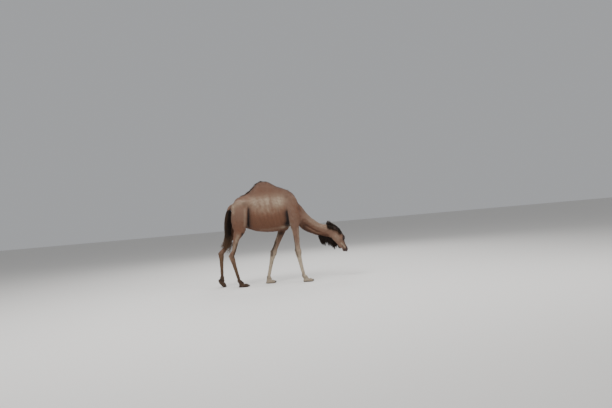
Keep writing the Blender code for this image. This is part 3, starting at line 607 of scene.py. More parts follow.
def shape_face(surface, body):
    head = rise(body.along, 0.0, 0.1) * body.weight["head"]
    moves = np.zeros(len(surface.co))
    for line, least, most, width, depth in FACE_FOLDS:
        aside = rise(body.side, least - 0.004, least + 0.004) if least else 1.0
        aside = aside * rise(body.side, most + 0.01, most)
        moves += depth * along_line(body.along, body.fore, line, width) * aside * head
    for centre, radii, height in FACE_LUMPS:
        moves += height * blob(body.in_head, centre, radii) * head
    split = along_line(body.along, body.fore, LIP_SPLIT, 0.01) * np.exp(-((body.side / 0.0035) ** 2))
    moves -= 0.008 * split * head
    moves += 0.0009 * ripple(surface.co, 0.02, 5) * head * rise(body.along, 0.36, 0.42)
    surface.move(moves)


# ---------------------------------------------------------------- markings
MARKS = ("pale", "white", "rust", "brown", "black", "bare")
FORELEG = ("fore_upper", "fore_lower", "fore_foot")
# Lines of colour seen from the side: mark, side, regions or none for all, strength, line, width
SIDE_LINES = (
    ("pale", "right", ["trunk"], 0.3, ((0.18, 1.5), (0.165, 1.35), (0.15, 1.2)), 0.022),  # thigh's edge
    ("pale", "both", ["trunk"], 0.45, ((-0.04, 1.6), (0.06, 1.64), (0.14, 1.66)), 0.06),  # rump
    ("pale", "both", ["trunk"], 0.4, ((-0.06, 1.58), (-0.05, 1.46)), 0.035),
    ("pale", "both", ["trunk"], 0.24, ((0.45, 1.085), (0.6, 1.075), (0.78, 1.095), (0.9, 1.11)), 0.018),
    ("pale", "right", [], 0.9, ((1.03, 1.145), (0.985, 1.118), (1.012, 1.085)), 0.018),  # elbow
    ("pale", "right", [], 0.6, ((1.045, 1.06), (1.06, 0.9), (1.08, 0.74)), 0.018),
    ("pale", "right", [], 0.4, ((1.165, 1.05), (1.17, 0.9), (1.178, 0.74)), 0.02),
    ("pale", "left", [], 0.5, ((0.8, 1.06), (0.72, 0.86), (0.65, 0.74)), 0.025),
    ("pale", "right", [], 0.75, ((-0.215, 0.6), (-0.205, 0.52), (-0.19, 0.45)), 0.022),  # heel
    ("brown", "both", ["trunk"], 0.5, ((0.08, 1.725), (0.2, 1.745), (0.27, 1.7), (0.33, 1.63)), 0.024),
    ("black", "right", [], 0.95, ((0.092, 1.03), (0.086, 0.985)), 0.026),  # fold of the stifle
    ("black", "left", [], 0.95, ((-0.01, 1.02), (-0.018, 0.975)), 0.026),
    ("black", "left", FORELEG, 0.75, ((0.69, 0.8), (0.655, 0.72), (0.612, 0.64), (0.598, 0.55)), 0.026),
    ("black", "right", FORELEG, 0.7, ((1.072, 0.9), (1.082, 0.72), (1.09, 0.62), (1.122, 0.5)), 0.013),
)
# Lines of colour on the face: mark, strength, line along the head and towards the forehead, width
FACE_LINES = (
    ("pale", 0.3, ((0.16, -0.06), (0.21, -0.05)), 0.055),  # cheek
    ("pale", 0.75, ((0.33, -0.03), (0.385, -0.012), (0.425, -0.004)), 0.018),  # side of the muzzle
    ("brown", 0.5, ((0.1, -0.02), (0.16, 0.02), (0.22, 0.01)), 0.025),
    ("brown", 0.35, ((0.08, 0.03), (0.16, 0.06), (0.24, 0.05), (0.34, 0.03)), 0.03),
    ("black", 0.62, ((0.276, 0.05), (0.33, 0.04), (0.39, 0.032), (0.44, 0.038)), 0.014),  # eye to nostril
    ("black", 0.5, ((0.262, 0.03), (0.282, 0.026), (0.305, 0.02)), 0.008),  # from the eye's corner
)


def markings(surface, body):
    """How strong each colour is at each point, from 0 to 1; black and brown also carry painted shade in
    hollows, armpits and under the belly and neck.
    """
    x, z, side = body.x, body.z, body.side
    trunk, neck, head = (body.weight[name] for name in ("trunk", "neck", "head"))
    up = surface.normals()[:, 2]
    right, left = body.right, body.left
    uneven = ripple(surface.co, 0.1, 11)
    patchy = ripple(surface.co * (1.0, 1.0, 0.45), 0.055, 12)

    def line(points, width):
        return along_line(x, z, points, width)

    def face(points, width):
        return along_line(body.along, body.fore, points, width)

    def spot(forward, height, half_length, half_height):
        return blob(body.at, (forward, 0, height), (half_length, np.inf, half_height))

    sides = {"both": 1.0, "right": right, "left": left}
    made = dict.fromkeys(MARKS, 0.0)
    for mark, which, regions, strength, points, width in SIDE_LINES:
        where = body.legs(*regions) if regions else 1.0
        made[mark] = made[mark] + strength * line(points, width) * where * sides[which]
    for mark, strength, points, width in FACE_LINES:
        made[mark] = made[mark] + strength * face(points, width) * head

    shade = hollow_shade(body)
    streaky = ripple(surface.co * (1.0, 1.0, 0.22), 0.05, 13)
    ribs = 0.56 * spot(0.54, 1.6, 0.24, 0.12) * (1 + 0.35 * patchy + 0.4 * streaky)
    ribs += 0.74 * spot(0.85, 1.61, 0.12, 0.1) * (1 + 0.45 * patchy)
    ribs += 0.45 * spot(0.64, 1.66, 0.07, 0.06)
    ribs += 0.25 * spot(0.62, 1.44, 0.24, 0.08) * (1 + 0.9 * streaky)
    ribs += 0.4 * spot(0.36, 1.66, 0.13, 0.07) * (1 + 0.5 * patchy)
    # painted shade in the hollows between the ribs, where the pale patch gives way
    ribs *= 1 - 0.75 * line(((0.68, 1.74), (0.69, 1.6), (0.71, 1.45)), 0.024)
    ribs *= 1 - 0.45 * line(((0.46, 1.7), (0.47, 1.6), (0.49, 1.48)), 0.026)
    ribs *= 1 - 0.4 * line(((0.57, 1.62), (0.59, 1.52), (0.6, 1.42)), 0.016)
    pale = made["pale"] + ribs * trunk
    pale += 0.9 * blob(body.at, (0.892, 0.1, 1.098), (0.05, 0.12, 0.022)) * trunk
    gaskin = body.legs("hind_upper", "hind_lower")  # between stifle and hock
    pale += 0.75 * line(((0.0, 1.0), (-0.06, 0.86), (-0.13, 0.74)), 0.04) * gaskin * (0.8 + 0.2 * streaky)
    # paler on the upper side of the neck: partly its paler hair, partly painted light from above
    pale += 0.32 * neck * rise(up, -0.25, 0.45) * rise(x, 1.24, 1.48) * (1 + 0.4 * patchy)
    inner_ear = body.weight["ear"] * rise(surface.normals() @ FORE, -0.1, 0.5)

    foreleg = body.legs(*FORELEG)
    white = foreleg * (0.45 * rise(z, 0.88, 0.6) + 0.55 * rise(z, 0.66, 0.42)) * (0.97 + 0.34 * streaky)

    rear_shank = right * line(((-0.215, 0.6), (-0.205, 0.52), (-0.19, 0.45)), 0.022)
    rust = body.weight["hind_foot"] + gaskin * rise(z - 0.05 * left, 0.72, 0.5) * (0.88 + 0.12 * streaky)
    front_edge = right * line(((-0.024, 0.83), (-0.052, 0.75), (-0.09, 0.66), (-0.108, 0.605)), 0.028)
    rust += gaskin * front_edge
    rust *= (1 - 0.75 * rear_shank) * (1 - 0.4 * right * spot(-0.14, 0.53, 0.06, 0.08))
    pale *= 1 - 0.9 * gaskin * front_edge

    # darker brown low on the barrel: partly its brown coat, partly painted shade under the belly
    brown = made["brown"] + trunk * rise(z, 1.58, 1.36) * rise(x, 0.16, 0.26) * rise(x, 1.02, 0.94)
    brown += 0.45 * trunk * rise(z, 1.7, 1.84)
    brown += 0.75 * body.legs("trunk", "hind_upper") * rise(x, 0.2, 0.1) * rise(z, 1.45, 1.15)
    # darker brown under the neck: partly its darker hair, partly painted shade on the underside
    brown += neck * rise(up, 0.15, -0.45) * 0.95 + 0.3 * neck * rise(uneven, 0.0, 0.8)
    # painted shade in the crease between the neck and the shoulder
    brown += 0.85 * body.legs("trunk", "neck") * spot(1.225, 1.43, 0.065, 0.11)
    # painted shade on the front of the shoulder
    brown += 0.4 * trunk * rise(x, 1.1, 1.22) * rise(z, 1.62, 1.4)
    brown += 0.35 * trunk * rise(uneven, 0.1, 0.9)
    brown += 0.6 * body.weight["ear"]

    # lines along the back, painted shade in the hollows before the legs and in the armpits, then pads and
    # shanks, and then the head
    crest = np.exp(-((side / (0.022 + 0.007 * (1 + uneven))) ** 2)) * rise(up, 0.1, 0.5)
    black = made["black"] + 0.72 * crest * trunk * rise(x, -0.02, 0.2)
    # painted shade in the hollows before the legs' edges
    black += shade * (0.93 + 0.07 * uneven)
    # painted shade in the armpits, behind each elbow
    black += 0.6 * trunk * (right * spot(0.955, 1.155, 0.05, 0.042)
                             + left * spot(0.785, 1.15, 0.05, 0.042))
    black += 0.95 * blob(body.at, (0.87, 0.0, 1.01), (0.08, 0.09, 0.03))
    # painted shade on the top of the far foreleg, under the belly
    black += left * 0.85 * spot(0.825, 0.985, 0.075, 0.05) * foreleg
    black += right * 0.6 * spot(1.178, 0.14, 0.02, 0.022) * foreleg
    black += left * 0.5 * spot(0.478, 0.14, 0.02, 0.022) * foreleg
    black += 0.22 * body.weight["fore_foot"] + 0.45 * gaskin * front_edge
    black += 0.28 * foreleg * rise(streaky, 0.3, 0.9)
    hind_shank = body.legs("hind_lower", "hind_foot")
    black += hind_shank * (0.5 * rise(z, 0.34, 0.15) + 0.3 * rise(uneven, 0.1, 0.9))
    # darker under the neck and low at its base: partly its dark hair, partly painted shade
    black += 0.5 * neck * rise(up, 0.0, -0.6) + 0.35 * neck * spot(1.3, 1.09, 0.09, 0.07)
    black += 0.2 * trunk * rise(z, 1.72, 1.88)
    # painted shade, darker towards the belly
    black += 0.1 * body.legs("trunk", "hind_upper") * rise(z, 1.5, 1.3)
    # more painted shade in the crease before the shoulder
    black += 0.18 * body.legs("trunk", "neck") * spot(1.225, 1.43, 0.065, 0.11)
    # black at the front of the tail, against the rump: partly its black hair, partly painted shade
    black += 0.75 * body.weight["tail"] * rise(x - (-0.205), -0.015, 0.01) * rise(z, 1.52, 1.42)
    black += 0.45 * body.weight["tail"] * rise(z, 1.3, 1.05)
    nape = rise(x, 1.725, 1.765) * rise(up, 0.05, 0.4) * rise(body.along, 0.22, 0.13)
    black += 0.95 * body.legs("neck", "head", "ear") * nape * rise(side, 0.085, 0.055)
    black += head * 0.55 * rise(body.fore, 0.04, 0.08) * rise(body.along, 0.34, 0.13) * rise(side, 0.08, 0.01)
    cheek_line = face(((0.19, 0.06), (0.232, 0.078), (0.282, 0.064)), 0.021)
    black += head * 0.82 * cheek_line * rise(side, 0.03, 0.06)
    pale_lip = face(((0.33, -0.03), (0.385, -0.012), (0.44, -0.004)), 0.02)
    black += head * 0.5 * rise(body.along, 0.41, 0.47) * (1 - 0.8 * pale_lip)
    black += 0.9 * body.weight["ear"] - 0.16 * inner_ear
    bare = head * rise(body.along, 0.455, 0.49) * 0.75
    bare += head * face(FACE_FOLDS[0][0], 0.012) * 0.9
    bare += head * face(FACE_FOLDS[3][0], 0.01) * 0.9
    for eye_side in SIDES:
        distance, _, outward, p, q = slit_places(surface.co, eye_side)
        round_eye = rise(lid_gap(p, q), 0.55, 0.2) * rise(outward, 0.2, 0.5)
        bare += round_eye * rise(distance, 0.036, 0.03)
        # dark round the eye: partly dark skin, partly painted shade of the deep socket, darker under the brow
        dark_patch = rise(np.hypot(p * 0.62, q) * distance, 0.034, 0.016) * (outward > 0)
        black += (0.62 + 0.3 * rise(q, -0.2, 0.5)) * dark_patch * head
    feet = body.legs("fore_foot", "hind_foot")
    bare += feet * rise(z, 0.02, 0.008)
    for name in NAILS:
        low, high = corners_of(name)
        bare += blob(surface.co, (low + high) / 2, (high - low) * 0.5)

    made = {"pale": pale, "white": white, "rust": rust, "brown": brown, "black": black, "bare": bare}
    return {name: np.clip(made[name], 0.0, 1.0) for name in MARKS}


# ---------------------------------------------------------------- building the skin
def refine(mesh, chosen):
    """Splits every face whose points are all chosen into four."""
    bm = bmesh.new()
    bm.from_mesh(mesh)
    bm.verts.ensure_lookup_table()
    edges = [e for e in bm.edges if chosen[e.verts[0].index] and chosen[e.verts[1].index]]
    bmesh.ops.subdivide_edges(bm, edges=edges, cuts=1, use_grid_fill=True)
    bmesh.ops.triangulate(bm, faces=[f for f in bm.faces if len(f.verts) > 4])
    bm.to_mesh(mesh)
    bm.free()


def store(mesh, name, values):
    layer = mesh.attributes.get(name) or mesh.attributes.new(name, "FLOAT", "POINT")
    layer.data.foreach_set("value", values.astype(np.float32))


def fetch(mesh, name):
    return numbers(mesh.attributes[name].data, "value")[:, 0]


def weights_of(mesh):
    return np.stack([fetch(mesh, "of_" + region) for region in REGIONS], 1)


def write_places(mesh, surface):
    mesh.vertices.foreach_set("co", surface.co.astype(np.float32).ravel())
    mesh.update()


def read_back(mesh):
    """The mesh's surface, and where its points are."""
    surface = Surface(mesh)
    return surface, Body(surface, weights_of(mesh))


def build_skin():
    obj = raw_skin()
    mesh = obj.data
    keep_largest(mesh)
    surface = Surface(mesh)
    weights = region_weights(surface)
    body = Body(surface, weights)
    surface.co = surface.rounded(0.5 * body.blend(ROUNDING)[:, None], 70)
    surface.move(-(body.blend(DEPTH) + OVERLAP))
    write_places(mesh, surface)
    for region, weight in zip(REGIONS, weights.T):
        store(mesh, "of_" + region, weight)

    refine(mesh, body.legs("head", "ear") > 0.35)
    surface, body = read_back(mesh)
    surface.co = surface.smoothed(surface.co, 0.5 * body.legs("head", "ear")[:, None], 2)
    write_places(mesh, surface)
    body = Body(surface, weights_of(mesh))
    features = body.along > 0.36
    for side in SIDES:
        features |= np.linalg.norm(surface.co - eye_centres[side], axis=1) < 0.036
    refine(mesh, features & (body.weight["head"] > 0.5))
    surface, body = read_back(mesh)
    near = features_near(surface, body)
    surface.co = surface.smoothed(surface.co, 0.5 * near[:, None], 3)

    for shape in (shape_body, shape_legs, shape_feet, shape_face, shape_ears):
        shape(surface, Body(surface, weights_of(mesh)))
    surface.co = surface.smoothed(surface.co, 0.35, 1)
    shape_lids(surface)
    surface.co[:, 2] = np.maximum(surface.co[:, 2], 0.0)
    write_places(mesh, surface)
    thin_skin(obj, Body(surface, weights_of(mesh)))
    mesh = obj.data
    surface, body = read_back(mesh)
    for name, values in markings(surface, body).items():
        store(mesh, name, values)
    for region in REGIONS:
        mesh.attributes.remove(mesh.attributes["of_" + region])
    mesh.polygons.foreach_set("use_smooth", np.full(len(mesh.polygons), True))
    mesh.name = "camel_skin"
    bpy.data.objects.remove(obj)
    return mesh, surface, body


def features_near(surface, body):
    near = rise(body.along, 0.35, 0.37)
    for side in SIDES:
        near = np.maximum(near, rise(np.linalg.norm(surface.co - eye_centres[side], axis=1), 0.04, 0.034))
    return near * body.weight["head"]


def thin_skin(obj, body):
    """Thins the skin where it is flat, apart from the eyes and the muzzle."""
    group = obj.vertex_groups.new(name="thinned")
    keep = features_near(Surface(obj.data), body) > 0.5
    group.add(np.nonzero(~keep)[0].tolist(), 1.0, "REPLACE")
    thin = obj.modifiers.new("thin", "DECIMATE")
    triangles = len(obj.data.loop_triangles)
    thin.ratio = min(1.0, SKIN_TRIANGLES / triangles)
    thin.vertex_group = group.name
    settle(obj)
    obj.vertex_groups.clear()


# ---------------------------------------------------------------- materials
class Value:
    """A number that changes over a surface: sums with it add Math nodes to its material."""

    def __init__(self, finish, socket):
        self.finish = finish
        self.socket = socket

    def sum_with(self, operation, *others, clamp=False):
        node = self.finish.node("ShaderNodeMath", {"operation": operation, "use_clamp": clamp}, *others)
        return Value(self.finish, node.outputs[0])

    def __add__(self, other):
        return self.sum_with("ADD", self, other)

    def __sub__(self, other):
        return self.sum_with("SUBTRACT", self, other)

    def __rsub__(self, other):
        return self.sum_with("SUBTRACT", other, self)

    def __mul__(self, other):
        return self.sum_with("MULTIPLY", self, other)

    __radd__ = __add__
    __rmul__ = __mul__

    def clipped(self):
        return self.sum_with("ADD", self, 0.0, clamp=True)


class Finish:
    """A material and its nodes."""

    def __init__(self, name, **settings):
        self.material = bpy.data.materials.new(name)
        self.material.use_nodes = True
        self.tree = self.material.node_tree
        self.shader = self.tree.nodes["Principled BSDF"]
        for socket, value in settings.items():
            self.shader.inputs[socket.replace("_", " ")].default_value = value

    def node(self, kind, settings=None, *values, **named):
        made = self.tree.nodes.new(kind)
        for setting, value in (settings or {}).items():
            setattr(made, setting, value)
        pairs = [*enumerate(values), *((name.replace("_", " "), value) for name, value in named.items())]
        for key, value in pairs:
            self.connect(value, made.inputs[key])
        return made

    def connect(self, value, socket):
        if isinstance(value, Value):
            value = value.socket
        if isinstance(value, bpy.types.NodeSocket):
            self.tree.links.new(value, socket)
        else:
            socket.default_value = value

    def stored(self, name):
        """A number stored on the mesh."""
        return Value(self, self.node("ShaderNodeAttribute", {"attribute_name": name}).outputs["Fac"])

    def noise(self, place, scale, detail, roughness):
        values = {"Vector": place, "Scale": scale, "Detail": detail, "Roughness": roughness}
        return Value(self, self.node("ShaderNodeTexNoise", None, **values).outputs[0])

    def places(self, stretch=(1.0, 1.0, 1.0)):
        """Places on the surface, in metres, times a stretch along each axis."""
        own = self.node("ShaderNodeTexCoord").outputs["Object"]
        return self.node("ShaderNodeVectorMath", {"operation": "MULTIPLY"}, own, stretch).outputs[0]

    def mix(self, share, colour, other, blend="MIX"):
        """From a colour to another, by a share from 0 to 1."""
        made = self.node("ShaderNodeMix", {"data_type": "RGBA", "clamp_factor": True, "blend_type": blend})
        for value, key in ((share, "Factor"), (colour, 6), (other, 7)):
            self.connect(value, made.inputs[key])
        return made.outputs[2]

    def bump(self, height, strength, distance):
        node = self.node("ShaderNodeBump", None, Height=height, Strength=strength, Distance=distance)
        return node.outputs["Normal"]

    def set(self, **links):
        for name, value in links.items():
            self.connect(value, self.shader.inputs[name.replace("_", " ")])


def colour(red, green, blue):
    return (red, green, blue, 1.0)


# black and brown also stand for painted shade where the markings put them, and pale for some painted light on
# top of the neck
COLOURS = {
    "taupe": colour(0.165, 0.095, 0.065),
    "pale": colour(0.325, 0.25, 0.178),
    "white": colour(0.392, 0.326, 0.24),
    "rust": colour(0.088, 0.048, 0.023),
    "brown": colour(0.148, 0.064, 0.035),
    "black": colour(0.014, 0.008, 0.007),
    "bare": colour(0.044, 0.024, 0.023),
}


def coat_colour(finish, tone):
    """The coat's colour from the stored markings; `tone` shades it, from -1 to 1."""
    place = finish.places()
    mottle = finish.noise(place, 26.0, 3.0, 0.6)
    streaks = finish.noise(finish.places((1.0, 1.0, 0.3)), 60.0, 2.0, 0.6)
    speckle = finish.noise(place, 260.0, 2.0, 0.6)
    pale = finish.stored("pale")
    result = finish.mix(finish.stored("brown") * (0.62 + 0.5 * mottle), COLOURS["taupe"], COLOURS["brown"])
    result = finish.mix(finish.stored("rust") * (0.75 + 0.4 * mottle), result, COLOURS["rust"])
    result = finish.mix(pale * (1.25 * streaks + 0.35), result, COLOURS["pale"])
    result = finish.mix(finish.stored("white") * (0.7 + 0.45 * mottle), result, COLOURS["white"])
    result = finish.mix(finish.stored("black"), result, COLOURS["black"])
    result = finish.mix(finish.stored("bare") * 0.95, result, COLOURS["bare"])
    shade = (tone * 0.3 + 0.34 * (speckle - 0.5) + 0.34 * (mottle - 0.5) + 0.5).clipped()
    darkening = finish.mix(shade, colour(0.55, 0.53, 0.51), colour(1.42, 1.44, 1.46))
    return finish.mix(1.0, result, darkening, "MULTIPLY")


def skin_finish():
    finish = Finish("coat_and_skin", Sheen_Weight=0.12, Sheen_Roughness=0.5, Specular_IOR_Level=0.25)
    place = finish.places()
    grain = finish.noise(finish.places((1.0, 1.0, 0.42)), 210.0, 3.0, 0.65)
    wrinkles = finish.noise(place, 420.0, 2.0, 0.7)
    bare = finish.stored("bare")
    tone = 2.0 * (grain - 0.5)
    height = grain * (1 - bare) + wrinkles * bare * 0.6
    finish.set(Base_Color=coat_colour(finish, tone), Normal=finish.bump(height, 0.55, 0.004))
    finish.set(Roughness=0.88 - 0.38 * bare)
    return finish.material


def tuft_finish():
    look = {"Roughness": 0.8, "Sheen_Weight": 0.1, "Sheen_Roughness": 0.5, "Specular_IOR_Level": 0.22}
    finish = Finish("coat_tufts", **look)
    tone = finish.stored("tone") + 0.5 * finish.stored("tip") - 0.12
    finish.set(Base_Color=coat_colour(finish, tone))
    return finish.material


def long_hair_finish():
    finish = Finish("long_hair", Roughness=0.6, Specular_IOR_Level=0.2)
    tone = finish.stored("tone")
    tip = finish.stored("tip")
    streaks = finish.noise(finish.places((1.0, 1.0, 0.2)), 120.0, 2.0, 0.5)
    dark = finish.mix((0.5 + 0.5 * tone).clipped(), colour(0.006, 0.004, 0.004), colour(0.02, 0.013, 0.01))
    warm = finish.mix(streaks, colour(0.075, 0.042, 0.025), colour(0.225, 0.136, 0.08))
    share = (finish.stored("warm") * (0.3 + 1.1 * tip + 0.3 * tone)).clipped()
    finish.set(Base_Color=finish.mix(share, dark, warm))
    return finish.material


def eye_finish():
    finish = Finish("wet_eye", Roughness=0.1, Coat_Weight=0.3, Coat_Roughness=0.03, Specular_IOR_Level=0.12)
    across = finish.node("ShaderNodeSeparateXYZ", None, finish.places()).outputs
    x, y = Value(finish, across["X"]), Value(finish, across["Y"])
    long_way, short_way = x * (1 / 0.0085), y * (1 / 0.005)
    pupil = (3.0 - 3.0 * (long_way * long_way + short_way * short_way)).clipped()
    ring = (x * x + y * y) * (1 / 0.0175 ** 2)
    iris = (6.0 - 6.0 * ring).clipped()
    fibres = finish.noise(finish.places(), 900.0, 2.0, 0.6)
    brown = finish.mix(fibres, colour(0.014, 0.007, 0.003), colour(0.038, 0.018, 0.008))
    white = colour(0.022, 0.014, 0.01)
    finish.set(Base_Color=finish.mix(pupil, finish.mix(iris, white, brown), colour(0.002, 0.002, 0.003)))
    return finish.material


def nail_finish():
    finish = Finish("horn_nail", Roughness=0.55)
    bands = finish.noise(finish.places((0.4, 1.0, 1.0)), 260.0, 3.0, 0.6)
    finish.set(Base_Color=finish.mix(bands, colour(0.024, 0.019, 0.016), colour(0.095, 0.078, 0.062)))
    finish.set(Normal=finish.bump(bands, 0.5, 0.002))
    return finish.material


# ---------------------------------------------------------------- hair
PATCH = 0.003  # size of a tuft's patch on the unwrap


def hair_mesh(name, paths, lifts, breadth, thickness, stored, root_places, smooth=True):
    """Tapering hairs or tufts with three sides. `paths` has their stations, `lifts` the way their backs
    face, `stored` the numbers to store on each, and `root_places` its root's place on the skin's unwrap."""
    count, stations, _ = paths.shape
    body_stations = stations - 1
    share = np.arange(stations) / body_stations
    run = unit(np.gradient(paths, axis=1))
    across = unit(np.cross(run, lifts[:, None, :]))
    back = unit(np.cross(across, run))
    taper = (1.0 - 0.9 * share ** 2)[None, :, None]
    half = across * (breadth[:, None, None] * 0.5) * taper
    high = back * thickness[:, None, None] * taper
    rings = np.stack([paths - half, paths + half, paths + high], 2)[:, :body_stations]
    points = np.concatenate([rings.reshape(count, -1, 3), paths[:, -1:]], 1)
    per_hair = body_stations * 3 + 1
    faces = [(0, 2, 1)]
    for s in range(body_stations - 1):
        for a, b in ((0, 1), (1, 2), (2, 0)):
            low, high_ring = s * 3, s * 3 + 3
            faces += [(low + a, low + b, high_ring + b), (low + a, high_ring + b, high_ring + a)]
    last = (body_stations - 1) * 3
    faces += [(last + a, last + b, per_hair - 1) for a, b in ((0, 1), (1, 2), (2, 0))]
    faces = np.array(faces)
    every = (np.arange(count)[:, None, None] * per_hair + faces).reshape(-1, 3)
    mesh = make_mesh(name, points.reshape(-1, 3), every, smooth)
    for key, values in stored.items():
        store(mesh, key, np.repeat(values, per_hair))
    tip = np.concatenate([np.repeat(share[:body_stations], 3), [1.0]])
    store(mesh, "tip", np.tile(tip, count))
    sideways = np.concatenate([np.tile((0.0, 1.0, 0.5), body_stations), [0.5]])
    patch = np.stack([sideways, tip], 1) * PATCH
    places = (root_places[:, None, :] + patch[None]).reshape(-1, 2)
    layer = mesh.uv_layers.new(name="OFBake")
    layer.uv.foreach_set("vector", places[every.ravel()].astype(np.float32).ravel())
    return mesh


def unwrap_places(along, around):
    """Places on an unwrap that is slit along the body: strips round it, from one end to the other, with
    the same number of roots in each and the roots spread evenly along them."""
    count = len(along)
    strips = max(1, int(math.sqrt(count)))
    strip = np.argsort(np.argsort(along)) * strips // count
    order = np.lexsort((around, strip))
    first = np.searchsorted(strip[order], np.arange(strips))
    held = np.diff(np.append(first, count))
    rank = np.empty(count)
    rank[order] = (np.arange(count) - first[strip[order]] + 0.5) / held[strip[order]]
    room = 1 - 2 * PATCH
    return np.stack([(strip + 0.5) / strips, rank], 1) * room + PATCH * 0.5


def lie_of_coat(surface, body):
    """The way the hair points at each point of the skin."""
    normals = surface.normals()
    count = len(surface.co)
    ways = {
        "trunk": (-0.75, 0.0, -0.66), "neck": (-0.92, 0.0, 0.05), "head": tuple(-ALONG - 0.25 * FORE),
        "tail": (-0.05, 0.0, -1.0), "fore_upper": (-0.1, 0.0, -1.0), "fore_lower": (0.0, 0.0, -1.0),
        "fore_foot": (0.5, 0.0, -0.8), "hind_upper": (-0.35, 0.0, -1.0), "hind_lower": (0.0, 0.0, -1.0),
        "hind_foot": (0.4, 0.0, -0.8), "ear": (0.0, 0.0, 0.0),
    }
    way = np.zeros((count, 3))
    for region, direction in ways.items():
        way += body.weight[region][:, None] * np.array(direction)
    ear_way = -0.62 * ALONG - 0.42 * FORE + 0.62 * np.sign(body.y)[:, None] * np.array((0.0, 1.0, 0.0))
    way += body.weight["ear"][:, None] * ear_way
    steep = body.weight["trunk"] * (rise(body.x, 0.3, 0.1) + rise(body.x, 0.95, 1.1))
    way += steep[:, None] * np.array((0.35, 0.0, -0.5))
    hump = body.weight["trunk"] * rise(body.z, 1.65, 1.85)
    way += hump[:, None] * np.array((0.15, 0.0, -0.6))
    way[:, 1] += 0.3 * np.sign(body.y) * hump
    way = surface.smoothed(way, 0.5, 12)
    way -= normals * (way * normals).sum(1)[:, None]
    return unit(way), normals


def coat_growth(surface, body):
    """Length, lift and contrast of the tufts at each point."""
    length = body.blend(TUFT_LENGTH)
    lift = body.blend(TUFT_LIFT)
    up = surface.normals()[:, 2]
    trunk, neck = body.weight["trunk"], body.weight["neck"]
    crest = trunk * np.exp(-((body.side / 0.045) ** 2)) * rise(body.z, 1.68, 1.78) * rise(up, 0.1, 0.6)
    length = length + 0.026 * crest
    lift = lift + 0.22 * crest
    shag = trunk * rise(body.x, 0.9, 1.05) * rise(body.z, 1.45, 1.65) + neck * rise(up, 0.0, -0.6)
    shag += trunk * blob(body.at, (0.87, 0.03, 1.05), (0.09, 0.12, 0.03)) * 1.5
    shag += trunk * rise(body.x, 0.0, -0.08) * 0.6
    forelock = body.weight["head"] * rise(body.fore, 0.05, 0.075) * rise(body.along, 0.27, 0.15)
    shag += forelock * rise(body.side, 0.055, 0.025)
    length = length + 0.012 * shag
    lift = lift + 0.07 * shag
    length = length * (1 + 0.22 * ripple(surface.co, 0.09, 21))
    lift = np.maximum(lift * (1 + 0.45 * ripple(surface.co, 0.05, 22)), 0.04)
    return surface.smoothed(np.stack([length, lift, body.blend(TUFT_CONTRAST)], 1), 0.5, 30).T


def make_coat(mesh, surface, body, material):
    """The tufts of the short coat, in pieces."""
    way, normals = lie_of_coat(surface, body)
    length, lift, contrast = coat_growth(surface, body)
    marks = {name: fetch(mesh, name) for name in MARKS}
    corners = surface.triangles
    places = surface.co[corners]
    area = np.linalg.norm(np.cross(places[:, 1] - places[:, 0], places[:, 2] - places[:, 0]), axis=1) / 2
    reach = length[corners].mean(1)
    crowd = area / reach ** 1.55 * (1 - 0.93 * marks["bare"][corners].mean(1))
    crowd *= ~(places[:, :, 2].max(1) < 0.006)
    total = np.cumsum(crowd)
    picks = (np.arange(COAT_TUFTS) + draws.random(COAT_TUFTS)) / COAT_TUFTS * total[-1]
    chosen = np.minimum(np.searchsorted(total, picks), len(total) - 1)
    share = draws.random((COAT_TUFTS, 2))
    over = share.sum(1) > 1
    share[over] = 1 - share[over]
    weights = np.stack([1 - share.sum(1), share[:, 0], share[:, 1]], 1)

    def at_root(values):
        picked = values[corners[chosen]]
        return (picked * (weights if values.ndim == 1 else weights[:, :, None])).sum(1)

    root, normal = at_root(surface.co), unit(at_root(normals))
    long_way = at_root(way)
    size = at_root(length) * draws.uniform(0.72, 1.28, COAT_TUFTS)
    raised = at_root(lift) * draws.uniform(0.45, 1.6, COAT_TUFTS)
    turn = 0.2 * draws.normal(size=COAT_TUFTS) + 0.35 * ripple(root, 0.06, 23)
    aside = np.cross(normal, long_way)
    long_way = unit(long_way * np.cos(turn)[:, None] + aside * np.sin(turn)[:, None])
    stations = np.array((0.0, 0.45, 1.0))
    height = -0.001 + size[:, None] * raised[:, None] * (1.5 * stations - 0.75 * stations ** 2)
    paths = (root[:, None] + long_way[:, None] * (size[:, None] * stations)[:, :, None]
             + normal[:, None] * height[:, :, None])
    paths[:, :, 2] = np.maximum(paths[:, :, 2], 0.0012)
    tone = draws.normal(size=COAT_TUFTS) + ripple(root, 0.035, 24)
    tone = np.clip(at_root(contrast) * tone, -1.2, 1.2)
    stored = {name: at_root(values) for name, values in marks.items()}
    stored["tone"] = tone
    around = np.arctan2(root[:, 1], root[:, 2] - 1.25)
    breadth = np.clip(size * 0.14, 0.0014, 0.0042)
    from_tail_to_lips = np.argsort(root[:, 0])
    for number, part in enumerate(np.array_split(from_tail_to_lips, COAT_PIECES)):
        spots = unwrap_places(root[part, 0] - 0.4 * root[part, 2], around[part])
        here = {key: values[part] for key, values in stored.items()}
        made = hair_mesh(f"coat_{number + 1}", paths[part], normal[part], breadth[part], breadth[part] * 0.2,
                         here, spots, smooth=False)
        put_in_scene(made.name, made, material)


# ---------------------------------------------------------------- long hair
STIFFNESS = 0.35  # the share of a strand's length over which it keeps its first way


def strand_paths(root, first_way, tip, stations):
    """Curves from each root that start along a way and end at the tip."""
    share = np.linspace(0, 1, stations)[None, :, None]
    reach = np.linalg.norm(tip - root, axis=1)[:, None, None]
    handle = root[:, None] + first_way[:, None] * reach * STIFFNESS
    return ((1 - share) ** 2 * root[:, None] + 2 * share * (1 - share) * handle + share ** 2 * tip[:, None])


